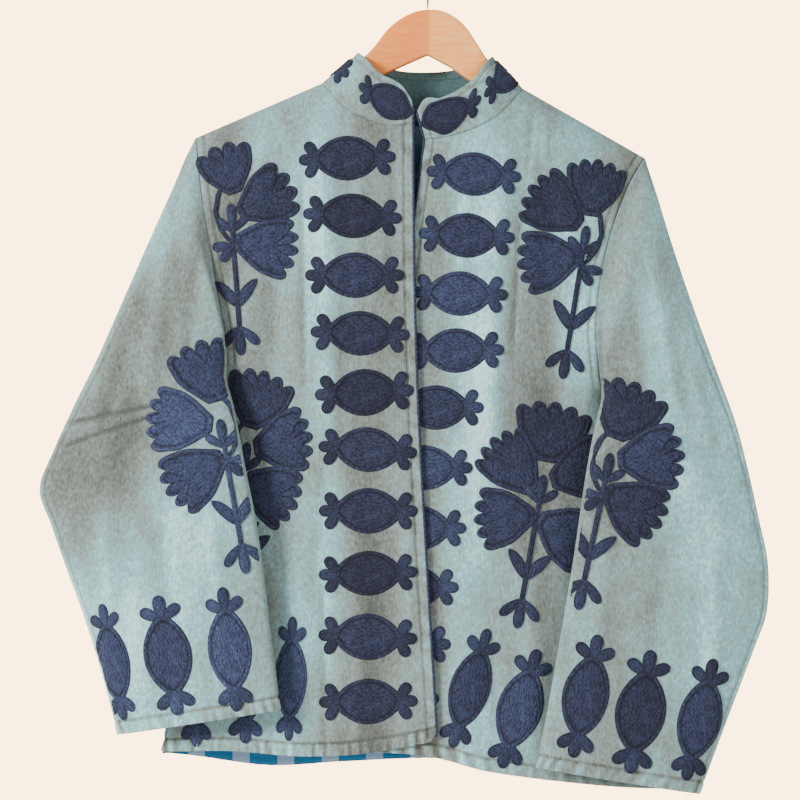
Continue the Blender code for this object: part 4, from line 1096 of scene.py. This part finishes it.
def painted_floor():
    """Matt pale paint on a smooth floor: warm white, faintly mottled."""
    mat, tree, bsdf = new_material("matt_floor_paint", {"Roughness": 0.9})
    where = add_node(tree, "ShaderNodeTexCoord").outputs["Object"]
    # clouds about 0.7 m wide
    cloud = add_node(tree, "ShaderNodeTexNoise", {"Vector": where, "Scale": 1.5, "Detail": 2.0})
    ramp = add_node(tree, "ShaderNodeValToRGB", {"Fac": cloud.outputs["Fac"]})
    set_ramp(ramp, (0.3, "floor_dark"), (0.7, "floor_light"))
    tree.links.new(ramp.outputs["Color"], bsdf.inputs["Base Color"])
    return mat


FINISHES = {}


def finish(key):
    """The named material, made once."""
    makers = {
        "velvet": cotton_velvet, "lining": checked_cotton, "facing": teal_facing,
        "yarn": chain_yarn, "strip": rolled_cotton, "wood": varnished_beech, "wire": drawn_wire,
        "floor": painted_floor}
    if key not in FINISHES:
        FINISHES[key] = makers[key]()
    return FINISHES[key]


# Settings

class JacketSizes(bpy.types.PropertyGroup):
    """Sizes of the cloth and the sewing, in metres."""
    wall: bpy.props.FloatProperty(
        name="Velvet thickness", description="Wall of the velvet with its backing",
        default=0.0016, min=0.0005, max=0.003, unit="LENGTH")
    lining_wall: bpy.props.FloatProperty(
        name="Lining thickness", description="Wall of the cotton lining",
        default=0.001, min=0.0003, max=0.002, unit="LENGTH")
    hem_band: bpy.props.FloatProperty(
        name="Hem band", description="Height of the turned-up hem and cuff",
        default=0.012, min=0.005, max=0.03, unit="LENGTH")
    edge_stitch: bpy.props.FloatProperty(
        name="Edge stitching", description="Distance of the topstitching from the front edge",
        default=0.008, min=0.002, max=0.02, unit="LENGTH")
    stitch_height: bpy.props.FloatProperty(
        name="Embroidery height", description="How far the chain stitching stands over the velvet",
        default=0.0011, min=0.0003, max=0.002, unit="LENGTH")


def swatch(label, what, code):
    """Colour setting: its name, what it colours and its usual value, an sRGB hex code."""
    return bpy.props.FloatVectorProperty(name=label, description=what, subtype="COLOR", size=4,
                                         min=0, max=1, default=linear(code))


class JacketColours(bpy.types.PropertyGroup):
    """Colours of the cloth, yarn, wood, wire and stage."""
    # the velvet's colours are lit and shaded copies, from painted shade to painted highlight
    velvet_shade: swatch("Velvet, deepest", "Pile in the deepest folds", "#505550")
    velvet_grey: swatch("Velvet, pile away", "Pile that leans away from the light", "#6B716B")
    velvet_mid: swatch("Velvet, middle", "Pile that stands upright", "#7C8F8C")
    velvet_aqua: swatch("Velvet, pile toward", "Pile that leans to the light", "#80B1B5")
    velvet_painted_highlight: swatch("Velvet, painted highlight", "Painted highlight on the ridges, with rubbed flecks", "#B4D9DD")
    velvet_glow: swatch("Velvet, edge glow", "Light that the pile catches at its edges", "#C0D8D6")
    lining_pale: swatch("Lining, ground", "Squares between the bars", "#92B0CD")
    lining_light: swatch("Lining, paler bars", "Paler bars, one way of the check", "#769DC1")
    lining_blue: swatch("Lining, darker bars", "Darker bars, the other way of the check", "#2270A1")
    lining_teal: swatch("Lining, crossings", "Squares where the bars cross", "#13739C")
    facing_dark: swatch("Facing, between threads", "Gaps between the facing's threads", "#446064")
    facing_light: swatch("Facing, threads", "Threads of the facing", "#5F7D7F")
    # yarn colours run from painted shade in the holes to painted highlight on the loop tops
    yarn_hole: swatch("Yarn, holes", "Holes between the loops", "#0E101C")
    yarn_body: swatch("Yarn", "Loops of fresh yarn", "#1F2132")
    yarn_faded_and_lit: swatch("Yarn, faded", "Loops that have faded, and loops in painted light", "#313955")
    yarn_lit_and_faded: swatch("Yarn, lit and faded", "Tops of loops in painted light, and faded", "#536289")
    strip_dark: swatch("Strip, between stitches", "Cloth between the stitches", "#191F35")
    strip_body: swatch("Strip", "Cloth of the strip", "#222B49")
    strip_light: swatch("Strip, stitches", "Stitches over the strip", "#2E3E63")
    # the two wood halves are painted as lit and shaded
    wood_dark: swatch("Wood, dark grain", "Dark lines of the grain", "#F67B2A")
    wood_shaded_half: swatch("Wood, darker half", "Half in painted shade", "#FF923D")
    wood_lit_half: swatch("Wood, paler half", "Half in painted light", "#FFAB58")
    wood_light: swatch("Wood, light grain", "Light lines of the grain", "#FFBC6D")
    wire_dark: swatch("Wire, marks", "Marks in the wire", "#A9AAAC")
    wire_light: swatch("Wire", "Bright metal of the wire", "#CFD0D2")
    floor_dark: swatch("Floor, mottle", "Darker clouds in the paint", "#EFE2D6")
    floor_light: swatch("Floor", "Paint of the floor", "#F4E9DF")
    surround_seen: swatch("Background", "Plain surround that the camera sees", "#FFD7A0")
    surround_fill: swatch("Soft light all round", "Soft light from the surround", "#F2F1EE")


def wall_half(context):
    """Half the velvet's thickness, in mm."""
    return context.scene.jacket_sizes.wall / MM / 2


def turned_hem(along, from_hem, band, pucker, groove, seed):
    """Lift of a turned hem: uneven puckers below its stitching, and a groove along the stitching."""
    lift = pucker * ripple(along * 0.45, from_hem * 0.1, seed) * ease((band - from_hem) / 4 + 0.5)
    return lift - groove * bell(from_hem - band, GROOVE)


def pile_and_painted_light_of(rows, pools, mid, lift, weight=1.0):
    """Painted light and shade of the velvet: paler on ridges and darker in troughs of the folds, paler on
    slopes turned to the light side, darker in stitched grooves, with the pools' soft bells, by weight."""
    x, z = mid[..., 0], mid[..., 2]
    slope = (folds(rows, x + 1, z) - folds(rows, x - 1, z)) / 2
    nap = 0.5 + FOLD_PAINTED_LIGHT * folds(rows, x, z) + SLOPE_PAINTED_LIGHT * slope + GROOVE_PAINTED_SHADE * lift
    for px, pz, wide, tall, change in pools:
        nap = nap + weight * change * bell(x - px, wide) * bell(z - pz, tall)
    return np.clip(nap, 0, 1)


class JACKET_OT_fronts(bpy.types.Operator):
    """Two fronts, the right one over the left, with turned hems and stitched front edges"""
    bl_idname = "jacket.fronts"
    bl_label = "Fronts"

    def execute(self, context):
        sizes = context.scene.jacket_sizes
        u = shares((0, 0.004, 3), (0.004, 0.06, 12), (0.06, NECK_SHARE, 28), (NECK_SHARE, 0.9, 34),
                   (0.9, 0.985, 12), (0.985, 1, 5))
        v = shares((0, 0.004, 3), (0.004, 0.12, 24), (0.12, UNDERARM, 50), (UNDERARM, 0.955, 84),
                   (0.955, 0.997, 26), (0.997, 1, 4))
        for right in (True, False):
            mid = front_panel(right, u, v)
            nrm = turned(normals(mid), (60, 30), -1)
            from_edge = run(mid, 1)
            down = run(mid, 0)
            from_hem = down[-1:] - down
            band, stitch = sizes.hem_band / MM, sizes.edge_stitch / MM
            lift = turned_hem(mid[..., 0], from_hem, band, *BODY_HEM, 3.0 if right else 5.0)
            # topstitching down the front edge, with small waves outside it
            lift -= STITCH_DEPTH * bell(from_edge - stitch, 1.2) * ease(from_hem / 6)
            lift += 0.35 * ripple(from_edge * 0.2, down * 0.35, 7.0) * ease((stitch + 1 - from_edge) / 2)
            # seam and topstitching round the armhole
            from_side = from_edge[:, -1:] - from_edge
            armhole = ease((UNDERARM - v) / 0.03)[:, None]
            lift -= (STITCH_DEPTH * bell(from_side - stitch, 1.3) + 0.8 * bell(from_side, 1.5)) * armhole
            mid = mid + nrm * lift[..., None]
            half = wall_half(context) * rounded(np.minimum(from_hem, from_edge))[..., None]
            uv = mid[..., [0, 2]] * MM
            name = "right_front_cloth" if right else "left_front_cloth"
            # the velvet carries painted light and shade from its folds, its stitched grooves and the pools
            piece = add_cloth(name, mid, nrm, half, [finish("velvet"), finish("lining")], uv,
                              fields={"nap": pile_and_painted_light_of(FRONT_FOLDS + FRONT_CREASES,
                                                   RIGHT_FRONT_PAINTED_POOLS if right else LEFT_FRONT_PAINTED_POOLS, mid, lift)})
            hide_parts("right_front" if right else "left_front")
        return {"FINISHED"}


class JACKET_OT_back(bpy.types.Operator):
    """Back with its turned hem, and the checked lining inside it"""
    bl_idname = "jacket.back"
    bl_label = "Back and lining"

    def execute(self, context):
        sizes = context.scene.jacket_sizes
        lo, hi = BACK_TURNS
        u = shares((0, 0.004, 2), (0.004, 0.05, 10), (0.05, lo, 26), (lo, hi, 60), (hi, 0.95, 26),
                   (0.95, 0.996, 10), (0.996, 1, 2))
        v = shares((0, 0.004, 3), (0.004, 0.12, 20), (0.12, UNDERARM, 36), (UNDERARM, 0.955, 60),
                   (0.955, 0.997, 20), (0.997, 1, 4))
        mid = back_panel(u, v)
        # the side seams close on the fronts
        mid[v > UNDERARM, :, 1] *= ease(np.minimum(u, 1 - u) / 0.008)
        nrm = turned(normals(mid), (60, 60), 1)
        down = run(mid, 0)
        from_hem = down[-1:] - down
        band = sizes.hem_band / MM
        lift = turned_hem(mid[..., 0], from_hem, band, *BODY_HEM, 9.0)
        mid = mid + nrm * lift[..., None]
        half = wall_half(context) * rounded(from_hem)[..., None]
        # the back carries painted light and shade from its folds and hem groove, with soft patches
        piece = add_cloth("back_cloth", mid, nrm, half, [finish("velvet"), finish("lining")],
                          mid[..., [0, 2]] * MM, fields={"nap": pile_and_painted_light_of(BACK_FOLDS + BACK_CREASES,
                                                                      BACK_NAP, mid, lift)})
        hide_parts("back")
        # the lining stops short of the side seams, the shoulders and the hem
        inside = (u > 0.05) & (u < 0.95)
        below = (v > 0.09) & (v < 0.9975)
        thin = sizes.lining_wall / MM
        cloth = (mid - nrm * (wall_half(context) + thin / 2 + LINING_GAP))[below][:, inside]
        side = nrm[below][:, inside]
        piece = add_cloth("back_lining_cloth", cloth, side, thin / 2, [finish("lining"), finish("lining")],
                          cloth[..., [0, 2]] * MM)
        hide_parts("back_lining")
        return {"FINISHED"}


class JACKET_OT_sleeves(bpy.types.Operator):
    """Two wide sleeves set into the armholes, open at the cuffs"""
    bl_idname = "jacket.sleeves"
    bl_label = "Sleeves"

    def execute(self, context):
        sizes = context.scene.jacket_sizes
        half_turn = np.pi * shares((0, 0.03, 5), (0.03, 0.2, 10), (0.2, 0.8, 34), (0.8, 0.97, 10),
                                   (0.97, 1, 5))
        theta = np.append(half_turn, 2 * np.pi - half_turn[-2:0:-1])
        t = shares((0, 0.012, 3), (0.012, 0.15, 22), (0.15, 0.46, 40), (0.46, 0.6, 46), (0.6, 0.965, 46),
                   (0.965, 0.997, 20), (0.997, 1, 4))
        tt, th = np.meshgrid(t, theta, indexing="ij")
        for side, arm, pools in (("right", RIGHT_ARM, RIGHT_SLEEVE_PAINTED_POOLS),
                                 ("left", LEFT_ARM, LEFT_SLEEVE_PAINTED_POOLS)):
            mid = sleeve_point(arm, th, tt)
            nrm = turned(normals(mid, True), (120, 30), -1)
            down = run(mid, 0)
            from_hem = down[-1:] - down
            closed = run(np.concatenate((mid, mid[:, :1]), 1), 1)
            girth, around = closed[:, -1:], closed[:, :-1]
            lift = turned_hem(around, from_hem, sizes.hem_band / MM, *CUFF_HEM, 11.0)
            # seam line along the outer edge, a few mm in on the front
            lift -= STITCH_DEPTH * bell(around - 7.5, 1.1) * ease((tt - 0.3) / 0.1)
            mid = mid + nrm * lift[..., None]
            half = wall_half(context) * rounded(from_hem)[..., None]
            uv = np.stack((closed, np.concatenate((down, down[:, :1]), 1)), -1) * MM
            # painted shade in the sharp creases, painted highlight along the outer edge
            creases = arm[3]
            sharp = [row for row in creases if row[4] < PAINTED_SHADE_WIDTH]
            painted_shade_and_edge_light = lift + 0.45 * np.minimum(folds(sharp, mid[..., 0], mid[..., 2]), 0)
            painted_shade_and_edge_light += 0.8 * bell(np.minimum(around, girth - around), 9) * ease((tt - 0.05) / 0.1)
            nap = pile_and_painted_light_of(creases, pools, mid, painted_shade_and_edge_light, 0.7 + 0.3 * np.sin(th))
            piece = add_cloth(side + "_sleeve_cloth", mid, nrm, half,
                              [finish("velvet"), finish("lining")], uv, True, {"nap": nap})
            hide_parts(side + "_sleeve")
        return {"FINISHED"}


class JACKET_OT_collar(bpy.types.Operator):
    """Stand collar, velvet outside and cotton facing inside, topstitched along its edge"""
    bl_idname = "jacket.collar"
    bl_label = "Collar"

    def execute(self, context):
        lo, hi = COLLAR_TURNS
        share = shares((0, 0.004, 3), (0.004, 0.05, 14), (0.05, lo, 50), (lo, hi, 80), (hi, 0.95, 50),
                       (0.95, 0.996, 14), (0.996, 1, 3))
        rise = shares((0, 0.7, 14), (0.7, 0.97, 10), (0.97, 1, 4))
        ss, rr = np.meshgrid(share, rise)
        # seam allowance turned down inside the back
        rr = rr - 0.09 * (1 - rr) ** 6 * ease((ss - lo) / 0.05) * ease((hi - ss) / 0.05)
        mid = collar_surface(ss, rr)
        nrm = turned(normals(mid), (10, 105), 1)
        up = run(mid, 0)
        from_top = up[-1:] - up
        along = run(mid, 1)
        from_end = np.minimum(along, along[:, -1:] - along)
        near = np.minimum(from_top, from_end)
        stitch = context.scene.jacket_sizes.edge_stitch / MM
        lift = -0.8 * bell(near - stitch * 0.8, 1.1)
        lift += 0.25 * ripple(along * 0.25, up * 0.2, 13.0)
        mid = mid + nrm * lift[..., None]
        half = wall_half(context) * rounded(near)[..., None]
        # painted shade in the stitched groove along the edge, painted light on the small waves
        piece = add_cloth("collar_cloth", mid, nrm, half, [finish("velvet"), finish("facing")],
                          np.stack((along, up), -1) * MM, fields={"nap": 0.52 + 0.25 * lift})
        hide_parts("collar")
        return {"FINISHED"}


class JACKET_OT_edge_strips(bpy.types.Operator):
    """Rolled strips over the front edges and the collar's ends"""
    bl_idname = "jacket.edge_strips"
    bl_label = "Edge strips"

    def execute(self, context):
        v = np.linspace(0, 1, 240)
        for right in (True, False):
            mid = front_panel(right, np.array([0.0, 0.02]), v)
            path = mid[:, 0] + unit(mid[:, 0] - mid[:, 1]) * ROLL_OUT
            ends = np.array([0.0, 0.004]) if right else np.array([1.0, 0.996])
            ss, rr = np.meshgrid(ends, np.linspace(1, 0, 24))
            band = collar_surface(ss, rr)
            way = unit(np.gradient(band[:, 0], axis=0))
            away = band[:, 0] - band[:, 1]
            away = unit(away - way * np.sum(away * way, -1, keepdims=True))
            top = band[:, 0] + away * ROLL_OUT
            path = np.concatenate((top[1:-1], path[1:]))
            name = "right_edge_roll" if right else "left_edge_roll"
            # a real strip at the top; lower down the dark strip also stands for the shade along the edge
            piece = add_tube(name, path, ROLL_RADIUS, [finish("strip")])
            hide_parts("right_edge_strip" if right else "left_edge_strip")
        return {"FINISHED"}


class JACKET_OT_embroidery(bpy.types.Operator):
    """Chain-stitched pods, flowers and leaves on the fronts, the sleeves and the collar"""
    bl_idname = "jacket.embroidery"
    bl_label = "Embroidery"

    def execute(self, context):
        high = context.scene.jacket_sizes.stitch_height / MM
        half = wall_half(context)
        # the last number of each motif is its painted light, higher where more light falls on it
        groups = (
            ("right_front_stitching", on_front(True, half),
             ((POD, RIGHT_FRONT_PODS, 0.27), (RIGHT_CHEST_FLOWER, RIGHT_CHEST, 0.45),
              (RIGHT_WAIST_FLOWER, RIGHT_WAIST, 0.5), (TALL_POD, RIGHT_HEM_PODS, 0.8))),
            ("left_front_stitching", on_front(False, half),
             ((POD, LEFT_FRONT_PODS, 0.55), (LEFT_CHEST_FLOWER, LEFT_CHEST, 0.4),
              (WHOLE_FLOWER, LEFT_WAIST, 0.4), (TALL_POD, LEFT_HEM_PODS, 0.5))),
            ("right_sleeve_stitching", on_sleeve(RIGHT_ARM, half),
             ((TALL_POD, RIGHT_CUFF_PODS, 0.72), (LEFT_FLOWER, RIGHT_SLEEVE_FLOWERS, 0.75))),
            ("left_sleeve_stitching", on_sleeve(LEFT_ARM, half),
             ((TALL_POD, LEFT_CUFF_PODS, 0.4), (RIGHT_FLOWER, LEFT_SLEEVE_FLOWERS, 0.4))),
            ("collar_stitching", on_collar(half),
             ((POD, COLLAR_PODS, 0.35), (POD[:4], RIGHT_COLLAR_POD, 0.3),
              (POD[:1] + POD[4:], LEFT_COLLAR_POD, 0.3))))
        for name, place, motifs in groups:
            parts = [blobs(*motif, high) for motif in motifs]
            add_stitching(name, parts, place, [finish("yarn")])
        return {"FINISHED"}


class JACKET_OT_hanger(bpy.types.Operator):
    """Wooden wishbone hanger of two mitred halves, with its wire hook"""
    bl_idname = "jacket.hanger"
    bl_label = "Hanger"

    def execute(self, context):
        rows = np.asarray(HANGER, float)
        x = np.unique(np.concatenate((rows[:, 0], np.linspace(rows[0, 0], rows[-1, 0], 120))))
        top = smooth(rows[:, :2], x)[:, 0]
        low, thick, centre, square = (np.interp(x, rows[:, 0], rows[:, k]) for k in range(2, 6))
        angle = np.linspace(0, 2 * np.pi, HANGER_SIDES + 1)[:-1]
        cos, sin = np.cos(angle)[None], np.sin(angle)[None]
        power = 2 / square[:, None]
        y = centre[:, None] + thick[:, None] * np.sign(cos) * np.abs(cos) ** power
        level, tall = (top + low)[:, None] / 2, (top - low)[:, None] / 2
        z = level + tall * np.sign(sin) * np.abs(sin) ** power
        rings = np.stack((np.broadcast_to(x[:, None], y.shape), y, z), -1)
        piece = add_loft("hanger_wood", rings, rings[[0, -1]].mean(1), [finish("wood")])
        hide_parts("hanger")
        bend = HOOK_INSIDE + WIRE
        turn = np.radians(np.linspace(HOOK_START, HOOK_END, 90))
        arc = np.stack((bend * np.cos(turn), 0 * turn, bend * np.sin(turn) - HOOK_INSIDE), -1)
        peak = HANGER[len(HANGER) // 2]
        peak_y = peak[4]
        foot = np.array([0, peak_y, peak[1] + SEAM])
        knee = np.array([0, peak_y / 2, arc[0, 2] - HOOK_KNEE])
        s = np.linspace(0, 1, 20)[1:-1, None]
        join = knee * (1 - s) ** 2 + (arc[0] - HOOK_LEAN) * 2 * s * (1 - s) + arc[0] * s ** 2
        piece = add_tube("hanger_hook_wire", np.concatenate((foot[None], knee[None], join, arc)), WIRE,
                         [finish("wire")], 20)
        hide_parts("hanger_hook")
        return {"FINISHED"}


# Stage, in metres: the floor, the lights by name, place, size and power, and the camera
FLOOR_RADIUS = 3.0
FLOOR_Z = -1.6
FLOOR_SIDES = 96
LIGHTS = (("key", (-4.8, -3.4, 1.5), 1.6, 660), ("fill", (2.8, -3.6, 0.0), 1.8, 88),
          ("rear", (0.6, 2.6, 0.6), 1.6, 75))
# Point that the lights are turned to
AIM = (-0.02, 0, -0.43)
# Strength of the surround as the camera sees it, and as light
SEEN_STRENGTH = 8.5
FILL_STRENGTH = 0.45
CAMERA_PLACE = (-0.026, -2.635, -0.426)
CAMERA_LENS = 126.5


class JACKET_OT_stage(bpy.types.Operator):
    """Pale floor below the hanging jacket, soft lights and the camera"""
    bl_idname = "jacket.stage"
    bl_label = "Stage"

    def execute(self, context):
        ring = np.linspace(0, 2 * np.pi, FLOOR_SIDES + 1)[:-1]
        edge = np.stack((FLOOR_RADIUS * np.cos(ring), FLOOR_RADIUS * np.sin(ring),
                         np.full(FLOOR_SIDES, FLOOR_Z)), -1)
        mesh = bpy.data.meshes.new("floor")
        mesh.from_pydata(edge.tolist(), [], [list(range(FLOOR_SIDES))])
        mesh.materials.append(finish("floor"))
        floor = bpy.data.objects.new("floor", mesh)
        context.scene.collection.objects.link(floor)
        world = bpy.data.worlds.new("studio")
        world.use_nodes = True
        tree = world.node_tree
        tree.nodes.clear()
        colours = context.scene.jacket_colours
        seen = add_node(tree, "ShaderNodeBackground", {"Color": colours.surround_seen,
                                                       "Strength": SEEN_STRENGTH})
        fill = add_node(tree, "ShaderNodeBackground", {"Color": colours.surround_fill,
                                                       "Strength": FILL_STRENGTH})
        ray = add_node(tree, "ShaderNodeLightPath")
        mix = add_node(tree, "ShaderNodeMixShader", {0: ray.outputs["Is Camera Ray"], 1: fill.outputs[0],
                                                     2: seen.outputs[0]})
        add_node(tree, "ShaderNodeOutputWorld", {"Surface": mix.outputs[0]})
        context.scene.world = world
        for name, place, size, power in LIGHTS:
            lamp = bpy.data.lights.new(name, "AREA")
            lamp.size = size
            lamp.energy = power
            light = bpy.data.objects.new(name, lamp)
            light.location = place
            aim = np.array(AIM) - np.array(place)
            light.rotation_euler = (np.arctan2(np.hypot(aim[0], aim[1]), -aim[2]), 0,
                                    np.arctan2(aim[0], -aim[1]) + np.pi)
            context.scene.collection.objects.link(light)
        lens = bpy.data.cameras.new("camera")
        lens.lens = CAMERA_LENS
        camera = bpy.data.objects.new("camera", lens)
        camera.location = CAMERA_PLACE
        camera.rotation_euler = (np.pi / 2, 0, 0)
        context.scene.collection.objects.link(camera)
        context.scene.camera = camera
        return {"FINISHED"}


class VIEW3D_PT_jacket(bpy.types.Panel):
    """Lists the jacket's settings and pieces"""
    bl_idname = "VIEW3D_PT_jacket"
    bl_label = "Velvet jacket"
    bl_space_type = "VIEW_3D"
    bl_region_type = "UI"
    bl_category = "Jacket"

    def draw(self, context):
        for group, settings in ((JacketSizes, context.scene.jacket_sizes),
                                (JacketColours, context.scene.jacket_colours)):
            for key in group.__annotations__:
                self.layout.prop(settings, key)
        for piece in PIECES:
            self.layout.operator(piece.bl_idname)


PIECES = (JACKET_OT_stage, JACKET_OT_fronts, JACKET_OT_back, JACKET_OT_sleeves, JACKET_OT_collar,
          JACKET_OT_edge_strips, JACKET_OT_embroidery, JACKET_OT_hanger)
CLASSES = (JacketSizes, JacketColours, *PIECES, VIEW3D_PT_jacket)


def register():
    for cls in CLASSES:
        bpy.utils.register_class(cls)
    bpy.types.Scene.jacket_sizes = bpy.props.PointerProperty(type=JacketSizes)
    bpy.types.Scene.jacket_colours = bpy.props.PointerProperty(type=JacketColours)


def unregister():
    del bpy.types.Scene.jacket_sizes, bpy.types.Scene.jacket_colours
    for cls in reversed(CLASSES):
        bpy.utils.unregister_class(cls)


def main():
    register()
    for old in [o for o in bpy.data.objects if o.name in ("Cube", "Light", "Camera")]:
        bpy.data.objects.remove(old, do_unlink=True)
    bpy.ops.jacket.stage()
    bpy.ops.jacket.fronts()
    bpy.ops.jacket.back()
    bpy.ops.jacket.sleeves()
    bpy.ops.jacket.collar()
    bpy.ops.jacket.edge_strips()
    bpy.ops.jacket.embroidery()
    bpy.ops.jacket.hanger()


if __name__ == "__main__":
    main()
